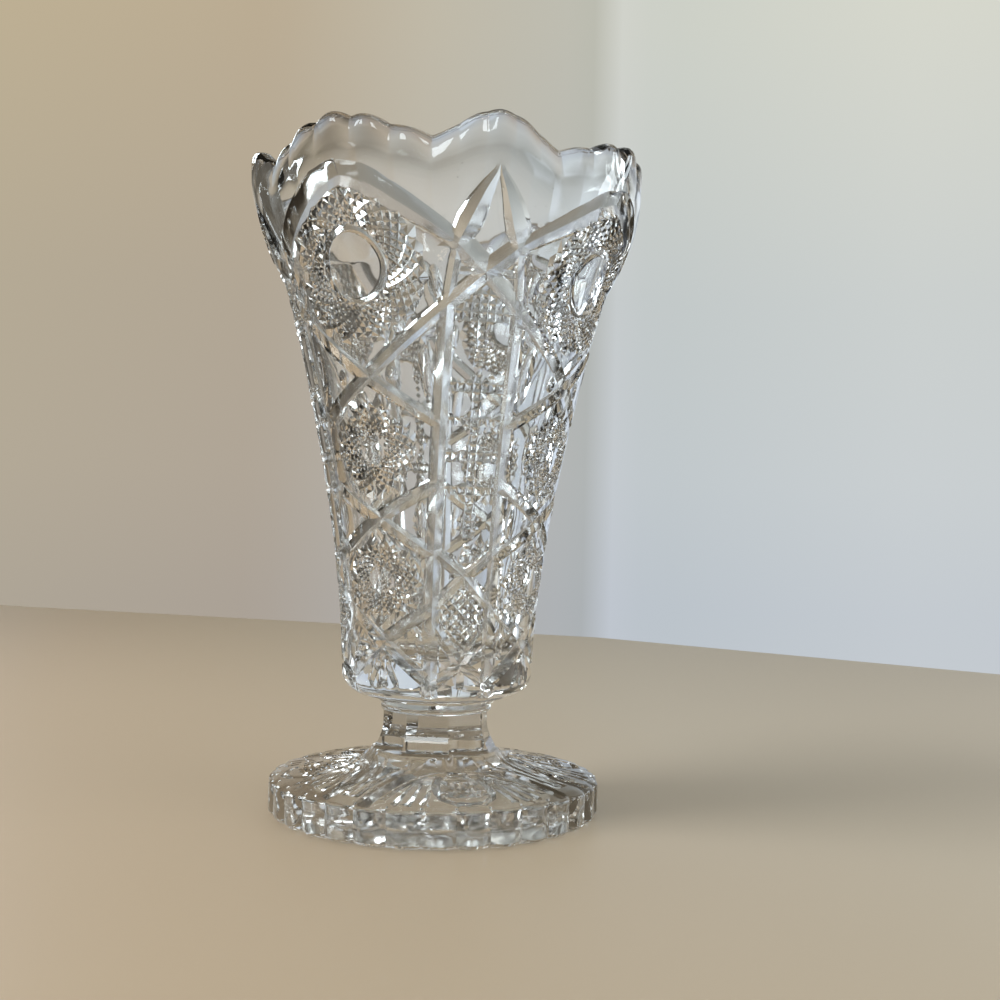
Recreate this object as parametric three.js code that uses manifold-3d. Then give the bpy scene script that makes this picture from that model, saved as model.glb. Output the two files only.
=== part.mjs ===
// Footed vase of clear pressed glass: a flared bowl on a ringed collar, an eight-sided stem and a
// spreading foot. Millimetres, +Z up, origin at the centre of the face that the foot stands on.
// Panels alternate round the bowl: four narrow bead panels and four wide star panels.
import * as THREE from 'three';
import { mergeVertices } from 'three/addons/utils/BufferGeometryUtils.js';
import Module from 'manifold-3d';

const wasm = await Module();
wasm.setup();

// Foot
const footRadius = 40.6;
const footEdgeHeight = 8.7;
const footSweepRadius = 19;
const footSweepHeight = 12.85;
const footSweepCurve = 2.2;
const footLandHeight = 15.4;
const footLandRadius = 15.6;
const padCount = 32;
const padBulge = 1.2;
const footEdgeRound = 1.1;
const restRingOuter = 37.6;
const restRingInner = 30.8;
const footHollowHeight = 4.8;
const footArchHalfAngle = 36.6;
const footArchTopRadius = 16.9;
const footGrooveWidth = 2.8;
const footGrooveDepth = 1.1;
const medallionHalfWidth = 6;
const medallionInnerRadius = 18.2;
const medallionOuterRadius = 35;
const medallionGrooveWidth = 1.9;
const medallionGrooveDepth = 0.8;

// Stem and collar
const stemHeight = 9.45;
const stemNeckRadius = 13.2;
const landMargin = 0.1;
const stemFlareHeight = 6.4;
const stemSides = 8;
const collarHeight = 3.4;
const collarRingRadius = 14.9;
const collarRingEdge = 0.7;
const collarNeckRadius = 13.1;
const collarBeadRadius = 0.65;

// Bowl
const bowlSeatRadius = 15.4;
const bowlBaseRadius = 23.7;
const bowlBaseRound = 7.5;
const shoulderHeight = 100;
const shoulderRadius = 39.9;
const bodyCurve = 1.55;
const flareCurve = 1.4;
const lowerWall = 5.4;
const upperWall = 4.2;
const cavityFloorHeight = 10;
const cavityFloorRound = 7;

// Lip: its top between the scallops, its widest place, and how far down it is rounded
const lipHeight = 124.9;
const lipRadius = 47.6;
const lipRoundOutside = 6;
const lipRoundInside = 3;

// Eight scallops of five bumps each: knuckled ones over the star panels and smooth ones over
// the bead panels
const bumpsPerScallop = 5;
const scallopRun = 8;
const scallopFlare = 1.7;
const scallopCurve = 1.6;
const beadScallopAngle = 36;
const starScallop = { rise: 3.7, bumpRise: 2.2, bumpSwell: 1.2 };
const beadScallop = { rise: 5.4, bumpRise: 0.6, bumpSwell: 0.3 };

// Cut pattern: heights above the bowl's seat, widths measured across a bead panel
const panelPairs = 4;
const grooveWidth = 2.6;
const grooveDepth = 1.1;
const sideGrooveWidth = 3.2;
const archSpringHeight = 103.5;
const archSpringHalf = 7.2;
const wideArchHeight = 117.7;
const wideArchCurve = 1.7;
const lancetHeight = 118;
const lancetBow = 0.6;
const starHeight = 98;
const starFootHeight = 90.5;
const starFootHalf = 8.4;
const beadPanelFootHalf = 7;
const grooveFootHeight = 5.1;
const starCrossHeights = [75, 43.3, 15];
const starCrossRise = 8.2;
const starCrossFall = 10.2;
const lozengeHeight = 23.2;
const lozengeHalfHeight = 7;
const lozengeTopHeight = 30.4;
const lozengeTopRise = 5.9;
const lozengeFootHeight = 9.9;

// Raised work
const beadRadius = 2.5;
const beadProud = 1.8;
const beadRows = 7;
const beadPitch = 7.7;
const lowestBeadHeight = 38.4;
const beadColumnHalf = 3.8;
const buttonHeight = 99;
const buttonRadius = 6.1;
const buttonProud = 2.5;
const buttonRingRadius = 7.3;
const buttonRingWidth = 1.6;
const buttonRingDepth = 0.9;
const hobnailCount = 12;
const hobnailRadius = 1.8;
const hobnailProud = 1.3;
const hobnailRingRadius = 11.4;
const smallButtonHeights = [59, 29];
const smallButtonRadius = 3.4;
const smallButtonProud = 1.5;
const sunkFoot = 0.35;

const stemSeat = footLandHeight;
const stemBaseRadius = footLandRadius - landMargin;
const collarSeat = stemSeat + stemHeight;
const bowlSeat = collarSeat + collarHeight;
const panelAngle = 360 / panelPairs;

const glass = { color: 0xe9edea, roughness: 0.04, metalness: 0, transparent: true, opacity: 0.4 };

// A point at an angle in degrees from the front, counted towards +X.
function around(radius, degrees, height) {
  const angle = THREE.MathUtils.degToRad(degrees);
  return new THREE.Vector3(radius * Math.sin(angle), -radius * Math.cos(angle), height);
}

// Triangles between two rings; one may have twice the other's points, or be a single point.
function bridge(lower, upper, firstLower, firstUpper, index) {
  const n = Math.max(lower.length, upper.length);
  const a = (k) => firstLower + Math.floor((k * lower.length) / n) % lower.length;
  const b = (k) => firstUpper + Math.floor((k * upper.length) / n) % upper.length;
  for (let k = 0; k < n; k++) {
    if (lower.length === upper.length) {
      index.push(a(k), a(k + 1), b(k + 1), a(k), b(k + 1), b(k));
    } else if (lower.length === 1) {
      index.push(firstLower, b(k + 1), b(k));
    } else if (upper.length === 1) {
      index.push(a(k), a(k + 1), firstUpper);
    } else if (lower.length < upper.length && k % 2 === 0) {
      index.push(a(k), a(k + 2), b(k + 1), a(k), b(k + 1), b(k), a(k + 2), b(k + 2), b(k + 1));
    } else if (lower.length > upper.length && k % 2 === 0) {
      index.push(a(k), a(k + 1), b(k), a(k + 1), b(k + 2), b(k), a(k + 1), a(k + 2), b(k + 2));
    }
  }
}

// A closed body through rings of points, from one single-point ring to another.
function loft(rings) {
  const points = [];
  const index = [];
  const starts = rings.map((ring) => points.push(...ring) - ring.length);
  for (let i = 0; i + 1 < rings.length; i++) {
    bridge(rings[i], rings[i + 1], starts[i], starts[i + 1], index);
  }
  const geometry = new THREE.BufferGeometry().setFromPoints(points);
  geometry.setIndex(index);
  return geometry;
}

function toSolid(geometry) {
  const bare = geometry.clone();
  bare.deleteAttribute('normal');
  bare.deleteAttribute('uv');
  const merged = mergeVertices(bare, 1e-4);
  const vertProperties = new Float32Array(merged.attributes.position.array);
  const triVerts = new Uint32Array(merged.index.array);
  return new wasm.Manifold(new wasm.Mesh({ numProp: 3, vertProperties, triVerts }));
}

function toGeometry(solid) {
  const mesh = solid.getMesh();
  const geometry = new THREE.BufferGeometry();
  geometry.setAttribute('position', new THREE.BufferAttribute(mesh.vertProperties, 3));
  geometry.setIndex(new THREE.BufferAttribute(mesh.triVerts, 1));
  geometry.computeVertexNormals();
  return geometry;
}

function joinAll(solids) {
  return solids.reduce((whole, next) => whole.add(next));
}

// Outside of the bowl below the lip: a rounded base, a long curved taper and a flare.
function bowlRadius(height) {
  if (height <= bowlBaseRound) {
    const share = 1 - height / bowlBaseRound;
    return bowlSeatRadius + (bowlBaseRadius - bowlSeatRadius) * Math.sqrt(1 - share ** 2.6);
  }
  if (height <= shoulderHeight) {
    const share = (height - bowlBaseRound) / (shoulderHeight - bowlBaseRound);
    return bowlBaseRadius + (shoulderRadius - bowlBaseRadius) * share ** bodyCurve;
  }
  const widest = lipHeight - lipRoundOutside;
  const share = Math.min(1, (height - shoulderHeight) / (widest - shoulderHeight));
  return shoulderRadius + (lipRadius - shoulderRadius) * (1 - (1 - share) ** flareCurve);
}

// Face of the bowl at a width across a panel and a height, with its outward direction.
function onBowl(panelDegrees, across, height) {
  const radius = bowlRadius(height);
  const degrees = panelDegrees + THREE.MathUtils.radToDeg(across / radius);
  const slope = (bowlRadius(height + 0.5) - bowlRadius(height - 0.5));
  const out = around(1, degrees, 0).setZ(-slope).normalize();
  return { point: around(radius, degrees, bowlSeat + height), out };
}

// Height of the foot's top: a shallow cone that sweeps up to the land under the stem.
function footTop(radius) {
  const fall = (footSweepHeight - footEdgeHeight) / (footRadius - footSweepRadius);
  const cone = (r) => footSweepHeight - (r - footSweepRadius) * fall;
  const share = Math.max(0, (footSweepRadius - radius) / (footSweepRadius - footLandRadius));
  return cone(radius) + (footLandHeight - cone(footLandRadius)) * share ** footSweepCurve;
}

// Face of the foot's top at an angle and a radius.
function onFoot(degrees, radius) {
  const slope = footTop(radius - 0.5) - footTop(radius + 0.5);
  const out = around(slope, degrees, 1).normalize();
  return { point: around(radius, degrees, footTop(radius)), out };
}

// A V groove sunk along a path of surface places, open or closed on itself; a place's share of
// the depth is 1 unless it says otherwise, and at 0 the groove has run out.
function vGroove(path, width, depth, closed = false) {
  const lift = 1.5;
  const last = path.length - 1;
  const rings = path.map((place, k) => {
    const before = closed && k === 0 ? path[last] : path[Math.max(0, k - 1)];
    const after = closed && k === last ? path[0] : path[Math.min(last, k + 1)];
    const along = after.point.clone().sub(before.point).normalize();
    const side = along.clone().cross(place.out).normalize();
    const sunk = depth * (place.share ?? 1);
    const half = ((lift + sunk) * width) / (2 * depth);
    const floor = place.point.clone().addScaledVector(place.out, -sunk);
    const top = place.point.clone().addScaledVector(place.out, lift);
    return [floor, top.clone().addScaledVector(side, -half), top.clone().addScaledVector(side, half)];
  });
  if (closed) {
    return toSolid(loft([...rings, rings[0]]));
  }
  const middle = (ring) => [ring[0].clone().add(ring[1]).add(ring[2]).divideScalar(3)];
  return toSolid(loft([middle(rings[0]), ...rings, middle(rings[last])]));
}

// A groove on the bowl from corner to corner, each at a width across a panel and a height.
function line(panelDegrees, corners, { steps = 1, width = grooveWidth } = {}) {
  const path = [onBowl(panelDegrees, ...corners[0])];
  for (let leg = 1; leg < corners.length; leg++) {
    for (let k = 1; k <= steps; k++) {
      const across = THREE.MathUtils.lerp(corners[leg - 1][0], corners[leg][0], k / steps);
      const height = THREE.MathUtils.lerp(corners[leg - 1][1], corners[leg][1], k / steps);
      path.push(onBowl(panelDegrees, across, height));
    }
  }
  return vGroove(path, width, grooveDepth);
}

// A ring groove round a place in the middle of a panel.
function ringGroove(panelDegrees, height, radius, width, depth) {
  const path = [];
  const steps = 8;
  for (let k = 0; k < steps; k++) {
    const turn = (k * 2 * Math.PI) / steps;
    path.push(onBowl(panelDegrees, radius * Math.cos(turn), height + radius * Math.sin(turn)));
  }
  return vGroove(path, width, depth, true);
}

// A raised shape, made about the origin with +Z outwards, set square to the bowl's face.
function setOnBowl(geometry, panelDegrees, across, height) {
  const { point, out } = onBowl(panelDegrees, across, height);
  const side = new THREE.Vector3(0, 0, 1).cross(out).normalize();
  const up = out.clone().cross(side);
  geometry.applyMatrix4(new THREE.Matrix4().makeBasis(side, up, out).setPosition(point));
  return toSolid(geometry);
}

// A low dome standing on the bowl, its foot a little under the face.
function dome(panelDegrees, across, height, radius, proud, sides) {
  const ball = new THREE.SphereGeometry(radius, sides, 4).rotateX(Math.PI / 2);
  ball.scale(1, 1, (proud + sunkFoot) / radius).translate(0, 0, -sunkFoot);
  return setOnBowl(ball, panelDegrees, across, height);
}

// A four-sided hobnail standing on the bowl.
function hobnail(panelDegrees, across, height) {
  const slope = hobnailProud / hobnailRadius;
  const rise = hobnailProud + sunkFoot;
  const spike = new THREE.ConeGeometry(rise / slope, rise, 4).rotateX(Math.PI / 2);
  spike.translate(0, 0, rise / 2 - sunkFoot);
  return setOnBowl(spike, panelDegrees, across, height);
}

// Half width of a bead panel between the middles of its side grooves.
function beadPanelHalf(height) {
  if (height >= starFootHeight) {
    const share = (height - starFootHeight) / (archSpringHeight - starFootHeight);
    return THREE.MathUtils.lerp(starFootHalf, archSpringHalf, share);
  }
  const share = (height - grooveFootHeight) / (starFootHeight - grooveFootHeight);
  return THREE.MathUtils.lerp(beadPanelFootHalf, starFootHalf, share);
}

// Half width of a star panel, from its middle to the same side grooves.
function starPanelHalf(height) {
  const halfTurn = THREE.MathUtils.degToRad(panelAngle / 2);
  return halfTurn * bowlRadius(height) - beadPanelHalf(height);
}

// One bowed side of the lancet, which fades out towards its tip.
function lancetSide(degrees, side) {
  const path = [];
  const steps = 2;
  for (let k = 0; k <= steps; k++) {
    const t = k / steps;
    const across = archSpringHalf * (1 - t) + lancetBow * Math.sin(Math.PI * t);
    const height = THREE.MathUtils.lerp(archSpringHeight, lancetHeight, t);
    path.push({ ...onBowl(degrees, side * across, height), share: 1 - t ** 3 });
  }
  return vGroove(path, grooveWidth, grooveDepth);
}

// Side grooves, star, lancet and lozenge of one bead panel.
function beadPanelGrooves(degrees) {
  const cuts = [];
  for (const side of [-1, 1]) {
    const at = (height) => [side * beadPanelHalf(height), height];
    const across = (height) => [-side * beadPanelHalf(height), height];
    const sideGroove = [at(grooveFootHeight), at(starFootHeight)];
    cuts.push(line(degrees, sideGroove, { steps: 4, width: sideGrooveWidth }));
    cuts.push(line(degrees, [at(starFootHeight), at(archSpringHeight)]));
    cuts.push(line(degrees, [at(archSpringHeight), [0, starHeight], across(starFootHeight)]));
    cuts.push(lancetSide(degrees, side));
    const high = lozengeTopHeight + lozengeTopRise;
    cuts.push(line(degrees, [at(high), [0, lozengeTopHeight], across(lozengeHeight)]));
    const low = lozengeHeight - lozengeHalfHeight / 2;
    cuts.push(line(degrees, [at(low), [0, lozengeFootHeight], across(grooveFootHeight)]));
  }
  return cuts;
}

// One half of the wide arch, which runs a little past the middle of its panel.
function wideArchSide(degrees, side) {
  const path = [];
  const steps = 4;
  for (let k = 0; k <= steps; k++) {
    const share = 1 - k / steps;
    const rise = (wideArchHeight - archSpringHeight) * share ** wideArchCurve;
    const across = side * share * starPanelHalf(archSpringHeight);
    path.push(onBowl(degrees, across, wideArchHeight - rise));
  }
  path.push(onBowl(degrees, -side * 0.3, wideArchHeight));
  return vGroove(path, grooveWidth, grooveDepth);
}

// Wide arch and crossings of one star panel.
function starPanelGrooves(degrees) {
  const cuts = [];
  for (const side of [-1, 1]) {
    cuts.push(wideArchSide(degrees, side));
    const at = (height) => [side * starPanelHalf(height), height];
    const across = (height) => [-side * starPanelHalf(height), height];
    starCrossHeights.forEach((height, k) => {
      const up = k === 0 ? starFootHeight : height + starCrossRise;
      const fall = k === 0 ? starCrossFall : starCrossRise;
      const down = Math.max(grooveFootHeight, height - fall);
      cuts.push(line(degrees, [at(up), [0, height], across(down)], { steps: 2 }));
    });
  }
  cuts.push(ringGroove(degrees, buttonHeight, buttonRingRadius, buttonRingWidth, buttonRingDepth));
  return cuts;
}

// Columns of round beads up one bead panel.
function beadColumns(degrees) {
  const beads = [];
  for (let row = 0; row < beadRows; row++) {
    const height = lowestBeadHeight + row * beadPitch;
    for (const side of [-1, 1]) {
      beads.push(dome(degrees, side * beadColumnHalf, height, beadRadius, beadProud, 6));
    }
  }
  return beads;
}

// Large button with its ring of hobnails, and the small buttons, of one star panel.
function buttons(degrees) {
  const raised = [dome(degrees, 0, buttonHeight, buttonRadius, buttonProud, 12)];
  for (let k = 0; k < hobnailCount; k++) {
    const turn = ((k + 0.5) * 2 * Math.PI) / hobnailCount;
    const across = hobnailRingRadius * Math.cos(turn);
    const height = buttonHeight + hobnailRingRadius * Math.sin(turn);
    raised.push(hobnail(degrees, across, height));
  }
  for (const height of smallButtonHeights) {
    raised.push(dome(degrees, 0, height, smallButtonRadius, smallButtonProud, 8));
  }
  return raised;
}

// How far the lip rises, flares and swells at a place round a scallop, from 0 to 1.
function lipShape(share, scallop) {
  const lobe = Math.sin(Math.PI * share) ** scallopCurve;
  const bump = Math.abs(Math.sin(Math.PI * bumpsPerScallop * share)) * (0.38 + 0.62 * lobe);
  const rise = scallop.rise * lobe + scallop.bumpRise * bump;
  return { rise, flare: scallopFlare * lobe, swell: scallop.bumpSwell * bump };
}

// A ring of the bowl; columns keep step with the bumps of the lip.
function bowlRing(columns, radius, height, weight = 0, swollen = 0) {
  const ring = [];
  for (let k = 0; k < columns; k++) {
    const scallops = 2 * panelPairs;
    const turn = (k / columns) * scallops + 0.5;
    const place = Math.floor(turn) % scallops;
    const share = turn - Math.floor(turn);
    const overBeads = place % 2 === 0;
    const width = overBeads ? beadScallopAngle : panelAngle - beadScallopAngle;
    const { rise, flare, swell } = lipShape(share, overBeads ? beadScallop : starScallop);
    const degrees = (place * panelAngle) / 2 + (share - 0.5) * width;
    const out = radius + weight * flare + swollen * swell;
    ring.push(around(out, degrees, bowlSeat + height + weight * rise));
  }
  return ring;
}

// Rings of the rounded lip, from its widest place outside over the top to the inside.
function lipRings(columns) {
  const half = upperWall / 2;
  const places = [
    { turn: 0, columns, weight: 0.8, swollen: 0.6 },
    { turn: 45, columns: 2 * columns, weight: 0.95, swollen: 1 },
    { turn: 90, columns: 2 * columns, weight: 1, swollen: 0.5 },
    { turn: 180, columns, weight: 0.95, swollen: 0 },
  ];
  return places.map((place) => {
    const angle = THREE.MathUtils.degToRad(place.turn);
    const rounding = place.turn < 90 ? lipRoundOutside : lipRoundInside;
    const radius = lipRadius - half + half * Math.cos(angle);
    const height = lipHeight - rounding * (1 - Math.sin(angle));
    return bowlRing(place.columns, radius, height, place.weight, place.swollen);
  });
}

// Bowl before it is cut: outside, rounded lip, and the inside down to its floor.
function bowlBlank() {
  const columns = 16 * bumpsPerScallop;
  const bodyRows = 3;
  const scallopFoot = shoulderHeight + scallopRun;
  const crease = (scallopFoot + lipHeight - lipRoundOutside) / 2;
  const creaseWeight = 0.35;
  const inside = (height) => {
    const share = (height - cavityFloorHeight) / (lipHeight - cavityFloorHeight);
    return bowlRadius(height) - THREE.MathUtils.lerp(lowerWall, upperWall, share);
  };
  const rings = [[new THREE.Vector3(0, 0, bowlSeat)]];
  rings.push(bowlRing(columns / 2, bowlSeatRadius, 0));
  rings.push(bowlRing(columns / 2, bowlRadius(bowlBaseRound * 0.2), bowlBaseRound * 0.2));
  for (let row = 0; row <= bodyRows; row++) {
    const height = THREE.MathUtils.lerp(bowlBaseRound, shoulderHeight, row / bodyRows);
    rings.push(bowlRing(columns / 2, bowlRadius(height), height));
  }
  rings.push(bowlRing(columns / 2, bowlRadius(scallopFoot), scallopFoot));
  rings.push(bowlRing(columns / 2, bowlRadius(crease), crease, creaseWeight));
  rings.push(...lipRings(columns));
  const cavityFoot = cavityFloorHeight + cavityFloorRound;
  for (let row = bodyRows; row >= 0; row--) {
    const height = THREE.MathUtils.lerp(cavityFoot, scallopFoot, row / bodyRows);
    rings.push(bowlRing(columns / 2, inside(height), height));
  }
  for (const turn of [50, 90]) {
    const angle = THREE.MathUtils.degToRad(turn);
    const radius = inside(cavityFoot) - cavityFloorRound * (1 - Math.cos(angle));
    const height = cavityFoot - cavityFloorRound * Math.sin(angle);
    rings.push(bowlRing(columns / 2, radius, height));
  }
  rings.push([new THREE.Vector3(0, 0, bowlSeat + cavityFloorHeight)]);
  return loft(rings);
}

function makeBowl() {
  const cuts = [];
  const raised = [];
  for (let pair = 0; pair < panelPairs; pair++) {
    const beadPanel = pair * panelAngle;
    const starPanel = beadPanel + panelAngle / 2;
    cuts.push(...beadPanelGrooves(beadPanel), ...starPanelGrooves(starPanel));
    raised.push(...beadColumns(beadPanel), ...buttons(starPanel));
  }
  return toGeometry(toSolid(bowlBlank()).subtract(joinAll(cuts)).add(joinAll(raised)));
}

// Collar: a thin bead on the stem and a spreading ring under the bowl.
function makeCollar() {
  const profile = [
    [0, 0], [collarNeckRadius, 0],
    [collarNeckRadius + collarBeadRadius, collarBeadRadius],
    [collarNeckRadius, 2 * collarBeadRadius],
    [collarRingRadius, collarHeight - collarRingEdge],
    [collarRingRadius - collarRingEdge / 2, collarHeight], [0, collarHeight],
  ].map(([radius, height]) => new THREE.Vector2(radius, height));
  return new THREE.LatheGeometry(profile, 32).rotateX(Math.PI / 2);
}

// Stem: eight concave sides that spread to the foot's land.
function makeStem() {
  const spread = stemBaseRadius - stemNeckRadius;
  const profile = [[0, 0], [stemBaseRadius, 0]];
  const steps = 4;
  for (let k = 1; k <= steps; k++) {
    const share = k / steps;
    profile.push([stemNeckRadius + spread * (1 - share) ** 1.8, stemFlareHeight * share]);
  }
  profile.push([stemNeckRadius, stemHeight], [0, stemHeight]);
  const points = profile.map(([radius, height]) => new THREE.Vector2(radius, height));
  return new THREE.LatheGeometry(points, stemSides).rotateX(Math.PI / 2);
}

// A ring of the foot; bulge pushes the middle of each edge pad out.
function footRing(radius, height, bulge = 0, perPad = 4) {
  const ring = [];
  for (let k = 0; k < padCount * perPad; k++) {
    const share = (k % perPad) / perPad;
    const out = radius - bulge * (2 * share - 1) ** 2;
    ring.push(around(out, ((k - perPad / 2) * 360) / (padCount * perPad), height));
  }
  return ring;
}

// Arch and medallion grooves of one quarter of the foot's top.
function footGrooves(degrees) {
  const cuts = [];
  for (const side of [-1, 1]) {
    const arch = [];
    const steps = 4;
    for (let k = 0; k <= steps; k++) {
      const t = k / steps;
      const angle = footArchHalfAngle * (1 - (1 - t) ** 2.9);
      const radius = THREE.MathUtils.lerp(footArchTopRadius, footRadius + 1.5, t ** 1.9);
      arch.push(onFoot(degrees + side * angle, radius));
    }
    arch.unshift(onFoot(degrees - side * 1.2, footArchTopRadius));
    cuts.push(vGroove(arch, footGrooveWidth, footGrooveDepth));
  }
  const oval = [];
  const middle = (medallionInnerRadius + medallionOuterRadius) / 2;
  const halfLength = (medallionOuterRadius - medallionInnerRadius) / 2;
  const steps = 8;
  for (let k = 0; k < steps; k++) {
    const turn = (k * 2 * Math.PI) / steps;
    const radius = middle - halfLength * Math.cos(turn);
    const across = medallionHalfWidth * Math.sin(turn);
    oval.push(onFoot(degrees + THREE.MathUtils.radToDeg(across / radius), radius));
  }
  cuts.push(vGroove(oval, medallionGrooveWidth, medallionGrooveDepth, true));
  return cuts;
}

// Foot: a hollow underside inside a flat resting ring, a padded edge and a top that sweeps up.
function makeFoot() {
  const top = footEdgeHeight;
  const sweepMiddle = (footSweepRadius + footLandRadius) / 2;
  const rings = [
    [new THREE.Vector3(0, 0, footHollowHeight)],
    footRing(restRingInner * 0.5, footHollowHeight * 0.92, 0, 1),
    footRing(restRingInner - 2, footHollowHeight * 0.4, 0, 1),
    footRing(restRingInner, 0, 0, 2),
    footRing(restRingOuter, 0, 0, 2),
    footRing(footRadius, (footRadius - restRingOuter) * 0.6, padBulge),
    footRing(footRadius, top - footEdgeRound, padBulge),
    footRing(footRadius - footEdgeRound, footTop(footRadius - footEdgeRound), padBulge),
    footRing(footSweepRadius, footSweepHeight, 0, 2),
    footRing(sweepMiddle, footTop(sweepMiddle), 0, 2),
    footRing(footLandRadius, footLandHeight, 0, 2),
    [new THREE.Vector3(0, 0, footLandHeight)],
  ];
  const cuts = [];
  for (let pair = 0; pair < panelPairs; pair++) {
    cuts.push(...footGrooves(pair * panelAngle));
  }
  return toGeometry(toSolid(loft(rings)).subtract(joinAll(cuts)));
}

function part(name, geometry, height = 0) {
  const mesh = new THREE.Mesh(geometry, new THREE.MeshStandardMaterial(glass));
  mesh.name = name;
  mesh.position.z = height;
  return mesh;
}

const vase = new THREE.Group();
vase.name = 'vase';
vase.add(part('foot', makeFoot()));
vase.add(part('stem', makeStem(), stemSeat));
vase.add(part('collar', makeCollar(), collarSeat));
vase.add(part('bowl', makeBowl()));

export default vase;
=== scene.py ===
import math

import bpy
import numpy as np
from mathutils import Matrix, Vector
from mathutils.geometry import delaunay_2d_cdt


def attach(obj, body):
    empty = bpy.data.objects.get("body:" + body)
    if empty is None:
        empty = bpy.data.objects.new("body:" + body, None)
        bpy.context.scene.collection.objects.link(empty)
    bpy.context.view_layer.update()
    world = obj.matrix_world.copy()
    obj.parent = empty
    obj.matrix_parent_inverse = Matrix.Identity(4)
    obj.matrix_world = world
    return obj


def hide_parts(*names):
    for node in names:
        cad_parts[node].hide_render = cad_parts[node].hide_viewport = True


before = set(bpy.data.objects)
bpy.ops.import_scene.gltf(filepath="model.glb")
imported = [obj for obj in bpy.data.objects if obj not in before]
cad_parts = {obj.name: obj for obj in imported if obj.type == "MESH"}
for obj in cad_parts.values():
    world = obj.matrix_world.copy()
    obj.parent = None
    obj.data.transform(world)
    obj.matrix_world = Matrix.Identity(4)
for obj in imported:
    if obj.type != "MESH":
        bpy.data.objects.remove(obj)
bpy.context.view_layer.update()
scene = bpy.context.scene
scene.view_settings.view_transform = "Standard"
mm = 0.001  # sizes below are millimetres, meshes are metres

print("frame loaded:", sorted(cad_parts))


# camera, where the photograph was taken from

cameraSizes = {
    "distance": 286.9,  # from the vase's axis
    "height": 68.65,
    "aside": 14.7,
    "turn": 16.0,  # the bead panel faces this far right of the camera
    "pitch": 1.70,
    "roll": 1.40,
    "focal": 1143.0,  # pixels of a frame 1000 wide
    "frame": 1000,
    "film": 36,
    "nearest": 10,
}


def makeCamera(z=cameraSizes):
    turn = Matrix.Rotation(math.radians(-z["turn"]), 4, "Z")
    spot = (z["aside"] * mm, -z["distance"] * mm, z["height"] * mm)
    look = Matrix.Rotation(math.radians(90 + z["pitch"]), 4, "X")
    roll = Matrix.Rotation(math.radians(z["roll"]), 4, "Z")
    data = bpy.data.cameras.new("photoCamera")
    data.sensor_width = z["film"]
    data.lens = z["focal"] * z["film"] / z["frame"]
    data.clip_start = z["nearest"] * mm
    camera = bpy.data.objects.new("photoCamera", data)
    camera.matrix_world = turn @ Matrix.Translation(spot) @ look @ roll
    scene.collection.objects.link(camera)
    scene.camera = camera


makeCamera()
print("camera placed")


# node trees

colorA, colorB, colorOut = 6, 7, 2  # the Mix node's colour sockets


def addNode(tree, kind, inputs=(), **settings):
    # inputs: a socket's name or number, and the output that feeds it or its value
    node = tree.nodes.new(kind)
    for name, value in settings.items():
        setattr(node, name, value)
    for key, value in dict(inputs).items():
        if isinstance(value, bpy.types.NodeSocket):
            tree.links.new(value, node.inputs[key])
        else:
            node.inputs[key].default_value = value
    return node


def compute(tree, operation, *values, kind="ShaderNodeMath"):
    return addNode(tree, kind, enumerate(values), operation=operation).outputs[0]


# pressed pattern: shapes laid out flat, cut into triangles along their own lines, then wrapped
# on a wall. A place is (angle in degrees, height up the wall), and a panel's own place is (width
# across the panel, height). A shape gives the lines that the mesh follows and its height.

patternSizes = {
    "sideFoot": 0.84,  # shares of a groove's half width where its steep sides start and end
    "sideTop": 1.05,
    "sideDrop": 0.4,  # share of its depth that the steep sides take
    "straightStep": 1.7,
    "strokeEnd": 0.08,  # share of a stroke that counts as its end
    "leastSine": 0.2,
    "flatTop": 0.3,  # share of a file cell that is flat on top
    "domeRings": (1, 0.95, 0.8, 0.55, 0.28),
    "scoopRings": (1, 0.75, 0.5, 0.25),
    "buttonRings": (1, 0.97, 0.92, 0.84, 0.72, 0.58, 0.45, 0.34, 0.2),
    "buttonRises": (0, 0.26, 0.42, 0.58, 0.74, 0.87, 0.95, 0.99, 1.0),
    "buttonMiddle": 0.97,
    "rim": 0.35,  # kept plain at a pattern's lower and upper edge
    "overlap": 0.1,  # cells may start this far past a panel's middle
    "weld": 0.012,
    "fullCut": 1.5,  # depth of a cut that is fully matt
}


def makePanel(middle, radiusAt):
    radii = np.vectorize(radiusAt)

    def toAngle(across, up):
        return middle + np.degrees(np.asarray(across) / radii(up))

    def toAcross(angle, up):
        return np.radians(np.asarray(angle) - middle) * radii(up)
    return {"toAngle": toAngle, "toAcross": toAcross}


def pathPoints(path, step):
    points = [path[0]]
    for a, b in zip(path, path[1:]):
        count = max(1, math.ceil(math.dist(a[:2], b[:2]) / step))
        points += [tuple(np.array(a) + (np.array(b) - np.array(a)) * k / count) for k in range(1, count + 1)]
    return np.array(points, float)


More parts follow.
